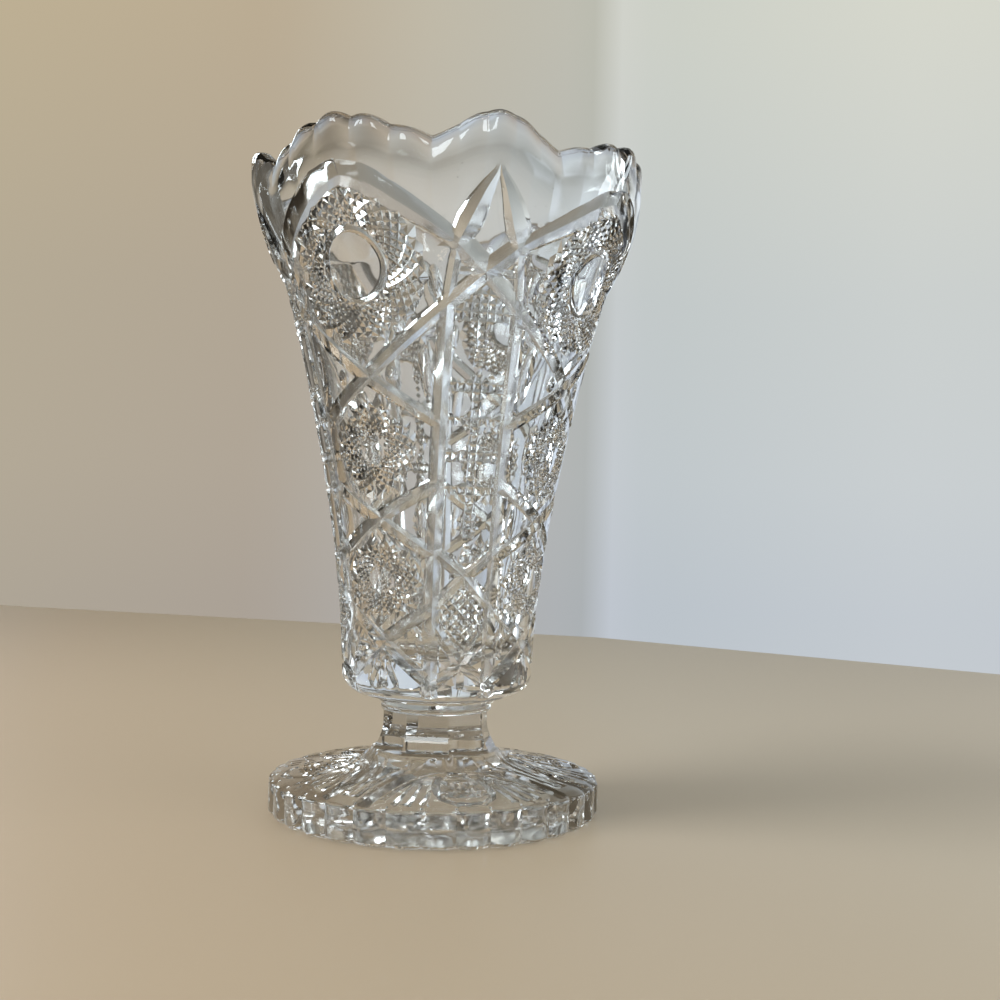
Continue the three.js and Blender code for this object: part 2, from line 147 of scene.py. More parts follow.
def groove(panel, path, half=0, depth=0, closed=False):
    # path: (across, up) or (across, up, half, depth) places; half and depth fill in what is missing
    full = [tuple(p) if len(p) == 4 else (p[0], p[1], half, depth) for p in path]
    points = pathPoints(full, patternSizes["straightStep"])
    low, high, drop = (patternSizes[key] for key in ("sideFoot", "sideTop", "sideDrop"))
    xy, halves, depths = points[:, :2], points[:, 2], points[:, 3]
    if closed:
        tangent = np.roll(xy[:-1], -1, 0) - np.roll(xy[:-1], 1, 0)
        tangent = np.vstack([tangent, tangent[:1]])
    else:
        tangent = np.gradient(xy, axis=0)
    tangent /= np.linalg.norm(tangent, axis=1)[:, None]
    side = np.stack([-tangent[:, 1], tangent[:, 0]], 1)
    lines = [xy + side * (halves * share)[:, None] for share in (0, low, high, -low, -high)]

    def height(s, y):
        best = np.zeros_like(s)
        for k in range(len(xy) - 1):
            a, b = xy[k], xy[k + 1]
            run = b - a
            length = max(run @ run, 1e-9)
            t = np.clip(((s - a[0]) * run[0] + (y - a[1]) * run[1]) / length, 0, 1)
            away = np.hypot(s - a[0] - t * run[0], y - a[1] - t * run[1])
            x = away / (halves[k] + t * (halves[k + 1] - halves[k]))
            outside = drop * np.clip(high - x, 0, None) / (high - low)
            edge = np.where(x < low, 1 - (1 - drop) * x / low, outside)
            best = np.minimum(best, -(depths[k] + t * (depths[k + 1] - depths[k])) * edge)
        return best
    return {"panel": panel, "lines": lines, "height": height, "kind": "cut"}


def mitres(panel, strokes):
    # lines from each crossing of straight grooves to where their edges meet
    lines, end = [], patternSizes["strokeEnd"]
    for i, (a0, a1, wa) in enumerate(strokes):
        for b0, b1, wb in strokes[i + 1:]:
            a0, a1, b0, b1 = (np.array(p, float) for p in (a0, a1, b0, b1))
            ua, ub = a1 - a0, b1 - b0
            cross = ua[0] * ub[1] - ua[1] * ub[0]
            if abs(cross) < 1e-6:
                continue
            t = ((b0 - a0)[0] * ub[1] - (b0 - a0)[1] * ub[0]) / cross
            r = ((b0 - a0)[0] * ua[1] - (b0 - a0)[1] * ua[0]) / cross
            if not (-end < t < 1 + end and -end < r < 1 + end):
                continue
            meet = a0 + ua * t
            ua, ub = ua / np.linalg.norm(ua), ub / np.linalg.norm(ub)
            for da, db in ((1, 1), (1, -1), (-1, 1), (-1, -1)):
                past = [share > 1 - end if way > 0 else share < end for share, way in ((t, da), (r, db))]
                if any(past):
                    continue
                u, v = ua * da, ub * db
                sine = abs(u[0] * v[1] - u[1] * v[0])
                corner = meet + (u * wb + v * wa) / max(sine, patternSizes["leastSine"])
                lines.append(np.array([meet, corner]))
    return {"panel": panel, "lines": lines, "height": None, "kind": "lines"}


def cellShape(panel, toCell, fromCell, chosen, depth):
    # square cells with a flat top, in any grid that toCell and fromCell describe
    flat = patternSizes["flatTop"]
    lines = []
    for i, j in sorted(chosen):
        for share in (1, flat):
            h = share / 2
            corners = [(i - h, j - h), (i + h, j - h), (i + h, j + h), (i - h, j + h), (i - h, j - h)]
            lines.append(np.array([fromCell(*c) for c in corners]))

    def height(s, y):
        u, v = toCell(s, y)
        i, j = np.round(u), np.round(v)
        inside = np.array([(int(a), int(b)) in chosen for a, b in zip(i, j)])
        m = 2 * np.maximum(abs(u - i), abs(v - j))
        return np.where(inside, -depth * np.clip((m - flat) / (1 - flat), 0, 1), 0)
    return {"panel": panel, "lines": lines, "height": height, "kind": "cells"}


def fileCells(panel, inRegion, pitch, turn, depth, centre, reach):
    # straight file: a grid of cells, turned by an angle about its centre
    c, s = math.cos(math.radians(turn)), math.sin(math.radians(turn))

    def fromCell(i, j):
        x, y = i * pitch[0], j * pitch[1]
        return (centre[0] + c * x - s * y, centre[1] + s * x + c * y)

    def toCell(x, y):
        x, y = x - centre[0], y - centre[1]
        return (c * x + s * y) / pitch[0], (c * y - s * x) / pitch[1]
    span = range(-reach, reach + 1)
    chosen = {(i, j) for i in span for j in span if inRegion(*fromCell(i, j))}
    return cellShape(panel, toCell, fromCell, chosen, depth)


def roseCells(panel, inRegion, centre, inner, outer, count, depth):
    # hobnails on two crossing spirals, so they grow with the distance from the middle
    turn = 2 * math.pi / count

    def fromCell(i, j):
        r, a = inner * math.exp((i - j) / 2 * turn), (i + j) / 2 * turn
        return (centre[0] + r * math.sin(a), centre[1] + r * math.cos(a))

    def toCell(x, y):
        x, y = x - centre[0], y - centre[1]
        across = (np.arctan2(x, y) / turn) % count
        along = np.log(np.maximum(np.hypot(x, y), 0.1) / inner) / turn
        return across + along, across - along
    chosen = set()
    for row in range(math.ceil(math.log(outer / inner) * 2 / turn) + 1):
        for k in range(-1, count + 2):
            place = fromCell(k + row, k)
            if math.dist(place, centre) <= outer and inRegion(*place):
                chosen.add((k + row, k))
    return cellShape(panel, toCell, fromCell, chosen, depth)


def roundShape(panel, centre, halfAcross, halfUp, rise, rings, profile, sides, kind):
    turn = np.linspace(0, 2 * np.pi, sides + 1)
    middle, halves = np.array(centre), np.array([halfAcross, halfUp])
    circle = np.stack([np.sin(turn), np.cos(turn)], 1)
    lines = [middle + halves * share * circle for share in rings]

    def height(s, y):
        away = np.hypot((s - centre[0]) / halfAcross, (y - centre[1]) / halfUp)
        return np.where(away < 1, rise * profile(np.clip(away, 0, 1)), 0)
    return {"panel": panel, "lines": lines, "height": height, "kind": kind, "points": [centre]}


def dome(panel, centre, halfAcross, halfUp, proud, sides):
    def profile(x):
        return np.sqrt(np.clip(1 - x * x, 0, 1))
    rings = patternSizes["domeRings"]
    return roundShape(panel, centre, halfAcross, halfUp, proud, rings, profile, sides, "raise")


def button(panel, centre, radius, proud, sides):
    # a knob with a steep side and a small dimple
    rings, rises = patternSizes["buttonRings"], patternSizes["buttonRises"]

    def profile(x):
        return np.interp(x, (0,) + rings[::-1], (patternSizes["buttonMiddle"],) + rises[::-1])
    return roundShape(panel, centre, radius, radius, proud, rings, profile, sides, "raise")


def scoop(panel, across, up, halfAcross, halfUp, depth, sides):
    def profile(x):
        return 1 - x * x
    rings = patternSizes["scoopRings"]
    return roundShape(panel, (across, up), halfAcross, halfUp, -depth, rings, profile, sides, "cut")


def clipLine(a, b, box):
    # the stretch of a to b inside the box, or None
    low, high = 0.0, 1.0
    for axis in (0, 1):
        run = b[axis] - a[axis]
        for wall, sign in ((box[axis][0], -1), (box[axis][1], 1)):
            gap = (wall - a[axis]) * sign
            if abs(run) < 1e-12:
                if gap < 0:
                    return None
            elif run * sign > 0:
                high = min(high, gap / (run * sign))
            else:
                low = max(low, gap / (run * sign))
    if high - low < 1e-6:
        return None
    a, b = np.array(a), np.array(b)
    return a + (b - a) * low, a + (b - a) * high


def layOut(shapes, box, mmPerDegree, spots, topAngles, bottomAngles):
    # triangles of a flat pattern: returns angles and heights up the wall, relief and triangles
    scale = np.array([mmPerDegree, 1.0])
    (a0, a1), (y0, y1) = box
    rim = patternSizes["rim"]
    inner = ((a0 * mmPerDegree, a1 * mmPerDegree), (y0 + rim, y1 - rim))
    verts, edges = [], []

    def addLine(points):
        for p, q in zip(points, points[1:]):
            part = clipLine(p * scale, q * scale, inner)
            if part is not None and math.dist(*part) > 1e-4:
                edges.append((len(verts), len(verts) + 1))
                verts.extend(part)
    for shape in shapes:
        for line in shape["lines"]:
            addLine(np.stack([shape["panel"]["toAngle"](line[:, 0], line[:, 1]), line[:, 1]], 1))
        for s, y in shape.get("points", ()):
            verts.append(np.array([float(shape["panel"]["toAngle"](s, y)), y]) * scale)
    start = len(verts)
    frameLine = [(a, y0) for a in bottomAngles] + [(a, y1) for a in topAngles[::-1]]
    verts += [np.array(p) * scale for p in frameLine]
    edges += [(start + k, start + (k + 1) % len(frameLine)) for k in range(len(frameLine))]
    around = reliefAt(shapes, spots[:, 0], spots[:, 1])
    verts += [p * scale for p, h in zip(spots, around) if abs(h) < 1e-4]
    out = delaunay_2d_cdt([Vector(p) for p in verts], edges, [], 0, patternSizes["weld"])
    places = np.array([tuple(v) for v in out[0]]) / scale
    faces = np.array([f for f in out[2] if len(f) == 3])
    relief = reliefAt(shapes, places[:, 0], places[:, 1])
    p = places * scale
    area = np.cross(p[faces[:, 1]] - p[faces[:, 0]], p[faces[:, 2]] - p[faces[:, 0]])
    return places, relief, faces[abs(area) > 1e-9]


def heightAt(shape, angles, ups):
    return shape["height"](shape["panel"]["toAcross"](angles, ups), ups)


def reliefAt(shapes, angles, ups):
    total = np.zeros(len(angles))
    for kind in ("cells", "raise", "cut"):
        for shape in shapes:
            if shape["kind"] == kind:
                h = heightAt(shape, angles, ups)
                raised = np.where(h > 0, np.maximum(total, h), total)
                total = raised if kind == "raise" else np.minimum(total, h)
    return total


# slices: an eighth of a piece is mirrored, and Geometry Nodes repeat the pair round the axis

sliceSizes = {
    "copies": 4,
    "weld": 0.004,
}


def sliceMesh(name, verts, faces, jointFaces=(), relief=(), inner=(), shade=()):
    # verts in mm over one eighth turn; the mirror image across the slice's first side is added.
    # Masks for the glass: relief makes cuts matt, inner lists unpolished vertices, and shade
    # gives (vertex, value) where the glass gathers shade.
    verts = np.asarray(verts, float)
    count = len(verts)
    both = np.vstack([verts, verts * (-1, 1, 1)]) * mm
    faces = [tuple(int(i) for i in f) for f in faces]
    mirrored = [tuple(i + count for i in reversed(f)) for f in faces]
    mesh = bpy.data.meshes.new(name)
    mesh.from_pydata([tuple(v) for v in both], [], faces + mirrored)
    joint = mesh.attributes.new("fusedJoint", "BOOLEAN", "FACE")
    flags = np.zeros(len(mesh.polygons), bool)
    chosen = np.array(sorted(jointFaces), int)
    flags[chosen] = True
    flags[chosen + len(faces)] = True
    joint.data.foreach_set("value", flags)
    depths, unpolished, shades = np.zeros((3, count))
    depths[:len(relief)] = np.clip(-np.asarray(relief) / patternSizes["fullCut"], 0, 1)
    unpolished[list(inner)] = 1
    for vertex, value in shade:
        shades[vertex] = value
    for mask, values in (("cutDepth", depths), ("unpolished", unpolished), ("shade", shades)):
        mesh.attributes.new(mask, "FLOAT", "POINT").data.foreach_set("value", np.tile(values, 2))
    return mesh


def makeRoundTree():
    tree = bpy.data.node_groups.new("repeatRound", "GeometryNodeTree")
    sockets = {"Slice": "Geometry", "Count": "Int", "Weld": "Float", "Glass": "Material", "Joint": "Material"}
    for name, kind in sockets.items():
        tree.interface.new_socket(name, in_out="INPUT", socket_type="NodeSocket" + kind)
    tree.interface.new_socket("Piece", in_out="OUTPUT", socket_type="NodeSocketGeometry")
    source = addNode(tree, "NodeGroupInput").outputs
    step = compute(tree, "DIVIDE", 2 * math.pi, source["Count"])
    turn = compute(tree, "MULTIPLY", step, addNode(tree, "GeometryNodeInputIndex").outputs[0])
    angle = addNode(tree, "ShaderNodeCombineXYZ", {"Z": turn})
    spots = addNode(tree, "GeometryNodeMeshLine", {"Count": source["Count"], "Offset": (0, 0, 0)})
    copies = addNode(tree, "GeometryNodeInstanceOnPoints", {
        "Points": spots.outputs[0], "Instance": source["Slice"], "Rotation": angle.outputs[0]})
    real = addNode(tree, "GeometryNodeRealizeInstances", {0: copies.outputs[0]})
    merge = addNode(tree, "GeometryNodeMergeByDistance", {
        "Geometry": real.outputs[0], "Distance": source["Weld"]})
    flag = addNode(tree, "GeometryNodeInputNamedAttribute", {"Name": "fusedJoint"}, data_type="BOOLEAN")
    glass = addNode(tree, "GeometryNodeSetMaterial", {
        "Geometry": merge.outputs[0], "Material": source["Glass"]})
    joint = addNode(tree, "GeometryNodeSetMaterial", {
        "Geometry": glass.outputs[0], "Selection": flag.outputs["Attribute"], "Material": source["Joint"]})
    addNode(tree, "NodeGroupOutput", {"Piece": joint.outputs[0]})
    return tree


def makePiece(name, sliceData, glass, sharpAngle):
    holder = bpy.data.objects.new(name + "Slice", sliceData)
    scene.collection.objects.link(holder)
    modifier = holder.modifiers.new("repeatRound", "NODES")
    modifier.node_group = roundTree
    values = {"Count": sliceSizes["copies"], "Weld": sliceSizes["weld"] * mm,
              "Glass": glass, "Joint": fusedJoint}
    for item in roundTree.interface.items_tree:
        if item.in_out == "INPUT" and item.name in values:
            modifier[item.identifier] = values[item.name]
    bpy.context.view_layer.update()
    graph = bpy.context.evaluated_depsgraph_get()
    mesh = bpy.data.meshes.new_from_object(holder.evaluated_get(graph))
    bpy.data.objects.remove(holder)
    mesh.name = name
    mesh.attributes.remove(mesh.attributes["fusedJoint"])
    mesh.polygons.foreach_set("use_smooth", [True] * len(mesh.polygons))
    mesh.set_sharp_from_angle(angle=math.radians(sharpAngle))
    piece = bpy.data.objects.new(name, mesh)
    scene.collection.objects.link(piece)
    print(f"{name}: {len(mesh.polygons)} faces")
    return piece


def strip(lower, upper):
    # faces between two rows of vertex numbers; one row may have twice the other's steps
    faces = []
    if len(lower) == len(upper):
        for k in range(len(lower) - 1):
            faces.append((lower[k], lower[k + 1], upper[k + 1], upper[k]))
    elif len(upper) > len(lower):
        for k in range(len(lower) - 1):
            faces += [(lower[k], lower[k + 1], upper[2 * k + 1]), (lower[k], upper[2 * k + 1], upper[2 * k]),
                      (lower[k + 1], upper[2 * k + 2], upper[2 * k + 1])]
    else:
        for k in range(len(upper) - 1):
            faces += [(lower[2 * k], lower[2 * k + 1], upper[k]), (lower[2 * k + 1], upper[k + 1], upper[k]),
                      (lower[2 * k + 1], lower[2 * k + 2], upper[k + 1])]
    return faces


def polar(radius, angle, height):
    a = math.radians(angle)
    return (radius * math.sin(a), -radius * math.cos(a), height)


def addRow(verts, points):
    verts.extend(points)
    return list(range(len(verts) - len(points), len(verts)))


def grow(verts, faces, row, points, below=False):
    # a further row of vertices, joined to the row before it
    nextRow = addRow(verts, points)
    faces += strip(nextRow, row) if below else strip(row, nextRow)
    return nextRow


def cap(row, pole, flip=False):
    return [(b, a, pole) if flip else (a, b, pole) for a, b in zip(row, row[1:])]


def rowOf(places, up):
    # a pattern's vertices at one height, in order of their angle
    return sorted(np.nonzero(abs(places[:, 1] - up) < 1e-3)[0], key=lambda k: places[k, 0])


# glass

glassSizes = {
    # the glass's own tint, and for the stem a much darker tint that is painted shade
    "tintAndShade": (0.972, 0.978, 0.972, 1),
    "stemShadeTint": (0.62, 0.61, 0.59, 1),
    "shadeTone": (0.38, 0.345, 0.305, 1),  # where thick glass gathers shade
    "ior": 1.52,
    "roughness": 0.012,
    "cutRoughness": 0.22,  # more than the plain surface at the bottom of a cut
    "innerRoughness": 0.05,
    "footRoughness": 0.1,
    "waveSize": 9.0,  # between waves left by the mould
    "waveDepth": 0.012,
    "waveDetail": 1.5,
    "turnedWaves": 0.6,  # share of the waves on the stem and collar
    "speckSize": 0.9,
    "speckShare": 0.25,  # cells of a speck's size, per millimetre
    "speckEdge": (0.03, 0.045),
    "speckTone": 0.45,
    "shadow": (0.56, 0.565, 0.565, 1),  # light that each wall lets through to the table
    "footShadow": (0.95, 0.95, 0.94, 1),
}


def makeSurfaceGroup(z=glassSizes):
    # mould waves, small specks, matt cuts and shade, shared by all four glasses
    group = bpy.data.node_groups.new("pressedSurface", "ShaderNodeTree")
    sockets = {"Wave Size": "Float", "Wave Depth": "Float", "Speck Size": "Float", "Polish": "Float",
               "Cut Polish": "Float", "Inner Polish": "Float", "Tint": "Color", "Shade Tone": "Color"}
    for name, kind in sockets.items():
        group.interface.new_socket(name, in_out="INPUT", socket_type="NodeSocket" + kind)
    for name, kind in {"Color": "Color", "Roughness": "Float", "Normal": "Vector"}.items():
        group.interface.new_socket(name, in_out="OUTPUT", socket_type="NodeSocket" + kind)
    source = addNode(group, "NodeGroupInput").outputs
    place = addNode(group, "ShaderNodeTexCoord").outputs["Object"]
    cut, inner, shade = (addNode(group, "ShaderNodeAttribute", attribute_name=mask).outputs["Fac"]
                         for mask in ("cutDepth", "unpolished", "shade"))
    waves = addNode(group, "ShaderNodeTexNoise", {
        "Vector": place, "Scale": compute(group, "DIVIDE", 1 / mm, source["Wave Size"]),
        "Detail": z["waveDetail"]})
    bump = addNode(group, "ShaderNodeBump", {
        "Height": waves.outputs[0], "Strength": source["Wave Depth"], "Distance": mm})
    specks = addNode(group, "ShaderNodeTexVoronoi", {
        "Vector": place, "Scale": compute(group, "DIVIDE", z["speckShare"] / mm, source["Speck Size"])})
    edge = addNode(group, "ShaderNodeMapRange", {
        "Value": specks.outputs["Distance"], "From Min": z["speckEdge"][0], "From Max": z["speckEdge"][1],
        "To Min": z["speckTone"], "To Max": 1})
    specked = addNode(group, "ShaderNodeMix", {
        "Factor": 1, colorA: source["Tint"], colorB: edge.outputs[0]},
        data_type="RGBA", blend_type="MULTIPLY")
    shaded = addNode(group, "ShaderNodeMix", {
        "Factor": shade, colorA: specked.outputs[colorOut], colorB: source["Shade Tone"]}, data_type="RGBA")
    cutPolish = compute(group, "MULTIPLY_ADD", cut, source["Cut Polish"], source["Polish"])
    roughness = compute(group, "MULTIPLY_ADD", inner, source["Inner Polish"], cutPolish)
    addNode(group, "NodeGroupOutput", {
        "Color": shaded.outputs[colorOut], "Roughness": roughness, "Normal": bump.outputs["Normal"]})
    return group


def makeGlass(name, waves=1.0, inner=glassSizes["innerRoughness"], tintAndShade=glassSizes["tintAndShade"],
              shadow=glassSizes["shadow"], z=glassSizes):
    material = bpy.data.materials.new(name)
    material.use_nodes = True
    tree = material.node_tree
    tree.nodes.clear()
    # the tint is the glass's own colour, and on the stem it also paints shade
    surface = addNode(tree, "ShaderNodeGroup", {
        "Wave Size": z["waveSize"], "Wave Depth": z["waveDepth"] * waves, "Speck Size": z["speckSize"],
        "Polish": z["roughness"], "Cut Polish": z["cutRoughness"], "Inner Polish": inner,
        "Tint": tintAndShade, "Shade Tone": z["shadeTone"]}, node_tree=surfaceGroup).outputs
    glass = addNode(tree, "ShaderNodeBsdfPrincipled", {
        "Base Color": surface["Color"], "Roughness": surface["Roughness"], "Normal": surface["Normal"],
        "IOR": z["ior"], "Metallic": 0, "Transmission Weight": 1})
    clear = addNode(tree, "ShaderNodeBsdfTransparent", {"Color": shadow})
    shadowRay = addNode(tree, "ShaderNodeLightPath").outputs["Is Shadow Ray"]
    mix = addNode(tree, "ShaderNodeMixShader", {0: shadowRay, 1: glass.outputs[0], 2: clear.outputs[0]})
    addNode(tree, "ShaderNodeOutputMaterial", {"Surface": mix.outputs[0]})
    return material


def makeJoint():
    # where two zones are fused there is no surface to see
    material = bpy.data.materials.new("fusedJoint")
    material.use_nodes = True
    material.node_tree.nodes["Principled BSDF"].inputs["Alpha"].default_value = 0
    return material


surfaceGroup = makeSurfaceGroup()
roundTree = makeRoundTree()
fusedJoint = makeJoint()
print("glass ready")


# bowl

bowlSizes = {
    "seat": 28.25,
    "seatRadius": 15.4,
    "jointRadius": 14.3,
    "baseRadius": 23.7,
    "baseRound": 7.5,
    "baseCurve": 2.6,
    "shoulderHeight": 100.0,
    "shoulderRadius": 39.9,
    "bodyCurve": 1.55,
    "flareCurve": 1.4,
    "lowerWall": 5.4,
    "upperWall": 4.2,
    "floorHeight": 10.0,
    "floorRound": 7.0,
    "patternFoot": 4.3,
    "patternTop": 117.8,
    "sharp": 20,
}

lipSizes = {
    "height": 124.9,  # its top between the scallops
    "radius": 47.53,  # its widest place
    "roundOutside": 6.0,
    "roundInside": 3.0,
    "fullness": 0.7,  # 1 is an elliptic rounding, less is squarer
    "scallopRun": 8.0,
    "scallopFlare": 1.7,
    "scallopCurve": 1.6,
    "widestShare": 0.8,  # share of a scallop's rise and flare at the widest place
    "insideShare": 0.95,  # and where the rounding inside ends
    "runCurve": 1.3,
    "beadScallop": 36.0,  # degrees
    "bumps": 5,
    "steps": 30,  # over half a scallop
    "star": {"rise": 3.7, "bumpRise": 2.2, "bumpSwell": 1.3},
    "bead": {"rise": 5.4, "bumpRise": 0.6, "bumpSwell": 0.3},
    "weakBump": 0.38,  # share of a bump where two scallops meet
    "valley": 0.5,  # share of a bump's rise that is kept between bumps
    "valleyRun": 2.5,
    "swellCurve": 1.4,
    "swellTurn": (15, 1.5, 110),  # where the swelling starts, how fast it turns and where it ends
    "crease": 2.6,  # how far the creases run below the widest place
    "creaseSwell": 0.2,
    "creaseCurve": 1.5,
    "shade": 0.9,
    "beadShade": 0.3,
    "weakShade": 0.4,
    "shadeCurve": 0.6,
}
lipWidest = lipSizes["height"] - lipSizes["roundOutside"]


def bowlRadius(h, z=bowlSizes):
    if h <= z["baseRound"]:
        share = 1 - max(h, 0) / z["baseRound"]
        rounded = math.sqrt(max(0, 1 - share ** z["baseCurve"]))
        return z["seatRadius"] + (z["baseRadius"] - z["seatRadius"]) * rounded
    if h <= z["shoulderHeight"]:
        t = (h - z["baseRound"]) / (z["shoulderHeight"] - z["baseRound"])
        return z["baseRadius"] + (z["shoulderRadius"] - z["baseRadius"]) * t ** z["bodyCurve"]
    t = min(1, (h - z["shoulderHeight"]) / (lipWidest - z["shoulderHeight"]))
    return z["shoulderRadius"] + (lipSizes["radius"] - z["shoulderRadius"]) * (1 - (1 - t) ** z["flareCurve"])


def lipShape(angle, z=lipSizes):
    # rise, flare and swell at an angle from a bead panel's middle (0) to a star panel's (45)
    half = z["beadScallop"] / 2
    kind = z["bead"] if angle <= half else z["star"]
    share = 0.5 + angle / (2 * half) if angle <= half else 0.5 - (45 - angle) / (90 - 2 * half)
    arch = math.sin(math.pi * share)
    lobe = max(0.0, arch) ** z["scallopCurve"]
    wave = abs(math.sin(math.pi * z["bumps"] * share))
    # shallow valleys between bumps, but none where two scallops meet
    wave += (1 - wave) * z["valley"] * min(1, z["valleyRun"] * arch)
    strength = z["weakBump"] + (1 - z["weakBump"]) * lobe
    rise = kind["rise"] * lobe + kind["bumpRise"] * wave * strength
    return rise, z["scallopFlare"] * lobe, kind["bumpSwell"] * wave ** z["swellCurve"] * strength


def lipShade(angle, turn, z=lipSizes):
    lobe = lipShape(angle)[1] / z["scallopFlare"]
    panel = z["beadShade"] if angle <= z["beadScallop"] / 2 else 1
    weight = z["weakShade"] + (1 - z["weakShade"]) * lobe
    return z["shade"] * panel * weight * math.sin(math.radians(turn)) ** z["shadeCurve"]


def bowlPoint(angle, h, relief=0.0, inset=0.0, z=bowlSizes, lip=lipSizes):
    # a place on the bowl below the rounded lip; inset moves it through the wall
    rise, flare, swell = lipShape(angle)
    foot, widest = z["shoulderHeight"] + lip["scallopRun"], lip["widestShare"]
    if h <= lipWidest:
        weight = widest * max(0.0, (h - foot) / (lipWidest - foot)) ** lip["runCurve"]
    else:
        share = (h - lipWidest) / (lip["height"] - lip["roundInside"] - lipWidest)
        weight = widest + (lip["insideShare"] - widest) * share
    crease = max(0.0, 1 - (lipWidest - h) / lip["crease"]) ** lip["creaseCurve"]
    swollen = 0.0 if inset else lip["creaseSwell"] * crease * swell
    r = bowlRadius(h) + weight * flare + swollen - inset + relief
    return polar(r, angle, z["seat"] + h + weight * rise)


def lipPoint(angle, turn, z=lipSizes):
    # a place on the rounded lip: 0 is the widest place outside, 90 the top and 180 the inside
    rise, flare, swell = lipShape(angle)
    t = math.radians(turn)
    rounding = z["roundOutside"] if turn <= 90 else z["roundInside"]
    start = z["widestShare"] if turn <= 90 else z["insideShare"]
    weight = start + (1 - start) * math.sin(t)
    swellStart, swellSpeed, swellEnd = z["swellTurn"]
    swollen = math.sin(math.radians(swellStart + swellSpeed * turn)) if turn < swellEnd else 0.0
    across = abs(math.cos(t)) ** z["fullness"] * (1 if turn <= 90 else -1)
    up = max(0.0, math.sin(t)) ** z["fullness"]
    r = z["radius"] - bowlSizes["upperWall"] / 2 * (1 - across) + weight * flare + swollen * swell
    return polar(r, angle, bowlSizes["seat"] + z["height"] - rounding * (1 - up) + weight * rise)


def lipAngles(step, z=lipSizes):
    # as many steps over half a bead scallop as over half a star scallop
    half = z["beadScallop"] / 2
    count = int(z["steps"] / step)
    first = [half * k / count for k in range(count + 1)]
    return first + [half + (45 - half) * k / count for k in range(1, count + 1)]


patternHeights = {
    "spring": 103.5,  # where the arches start
    "springHalf": 7.2,
    "starFoot": 90.5,
    "starFootHalf": 8.4,
    "footHalf": 7.0,
    "grooveFoot": 5.1,
    "wideArch": 115.0,
    "archCurve": 1.7,
    "lancet": 114.8,
    "star": 98.0,
    "crossings": ((75.2, 90.5, 64.8), (43.3, 51.5, 35.1), (15.0, 23.2, 5.6)),  # middle, upper end, lower end
    "button": 99.0,
    "lozengeTop": 30.4,
    "lozengeFoot": 9.9,
    "beads": 7,
    "beadPitch": 7.7,
    "lowestBead": 38.4,
    "beadAside": 3.8,
}

# a groove is (half width, depth) or, where it changes, a path of (across, up, half width, depth)

beadPattern = {
    "side": (1.95, 1.7),
    "sideSteps": 12,
    "shoulder": (1.5, 1.2),
    "upperRay": (2.5, 1.9),
    "lowerRay": (2.1, 1.6),
    "levelRay": ((0, 0, 1.5, 1.5), (6.6, -0.4, 0.8, 0.5)),  # up from the star's middle
    "leafFoot": (1.5, 1.5),
    "leaf": ((6.5, 105.2, 2.6, 2.0), (5.5, 107.4, 3.0, 2.1), (4.0, 110.2, 2.5, 1.7), (2.3, 112.8, 1.6, 1.1)),
    "leafTip": (0.6, 0.8, 0.35),  # across, half width and depth
    "lozengeShoulder": 36.2,
    "lozengeSide": (7.1, 23.2, 19.7),  # across, upper end, lower end
    "lozengeLeg": (7.0, 5.4),
    "lozengeGrooves": ((1.5, 1.4), (1.5, 1.4), (1.4, 1.25), (1.3, 1.2)),
    "footCut": ((0, 8.6, 0.9, 0.6), (0, 5.2, 0.9, 0.6)),
    "bead": (2.5, 2.7, 1.9, 18),  # half across, half up, proud and sides
    "file": {"cell": (1.9, patternHeights["beadPitch"] / 4), "turn": 0, "depth": 0.85,
             "centre": (0, patternHeights["lowestBead"]), "reach": 40},
    "fileHalf": 6.0,
    "fileLow": (0.78, 2.6),  # slope and gap to the lozenge
    "fileHigh": (0.89, 4.0),  # and to the star
    "beadRoom": (2.4, 2.7, 1.22),  # half across, half up and clearance
    "lozengeFile": {"cell": (1.65, 1.65), "turn": 45, "depth": 0.7, "centre": (0, 20.4), "reach": 8},
    "lozengeHalf": 5.6,
    "lozengeLow": (1.33, 2.9),  # slopes and gaps to its own grooves
    "lozengeHigh": (1.03, 2.6),
}

starPattern = {
    "arch": (1.8, 0.8, 1.55),  # half width at its ends, more half way, and depth
    "archSteps": 9,
    "crossing": (1.6, 1.5),
    "button": (7.1, 4.2, 44),  # radius, proud and sides
    "ring": (7.6, 0.8, 1.3),  # radius, half width and depth
    "rose": (8.9, 16.6, 34, 0.95),  # inner and outer radius, cells round and depth
    "roseRoom": 2.8,  # clearance to the arch
    "overlap": 0.2,  # rose cells may lie this far past the panel's middle
    "smallButton": (3.1, 1.5, 24),
    "smallRoses": ((59.0, (4.0, 10.6, 22, 0.8)), (29.0, (4.0, 8.6, 22, 0.8))),
    # across from the panel's side, up, half across, half up and depth
    "ovals": ((3.4, 95.3, 1.5, 3.6, 1.1), (3.6, 76.7, 1.9, 7.2, 1.2), (3.0, 43.3, 1.3, 4.2, 0.9),
              (2.7, 14.0, 1.1, 3.2, 0.8)),
    "ovalSides": 20,
    "dimple": (-6.6, 75.4, 1.6, 1.9, 0.9, 18),
    "footCuts": (((0, 11.4), (0, 5.3)), ((-1.19, 10.04), (-3.4, 5.3))),
    "footCut": (0.8, 0.7),
}


def beadPanelHalf(h, p=patternHeights):
    if h >= p["starFoot"]:
        t = (h - p["starFoot"]) / (p["spring"] - p["starFoot"])
        return p["starFootHalf"] + (p["springHalf"] - p["starFootHalf"]) * t
    t = (h - p["grooveFoot"]) / (p["starFoot"] - p["grooveFoot"])
    return p["footHalf"] + (p["starFootHalf"] - p["footHalf"]) * t


def starPanelHalf(h):
    return math.radians(45) * bowlRadius(h) - beadPanelHalf(h)


def addFile(panel, inRegion, z):
    return fileCells(panel, inRegion, z["cell"], z["turn"], z["depth"], z["centre"], z["reach"])


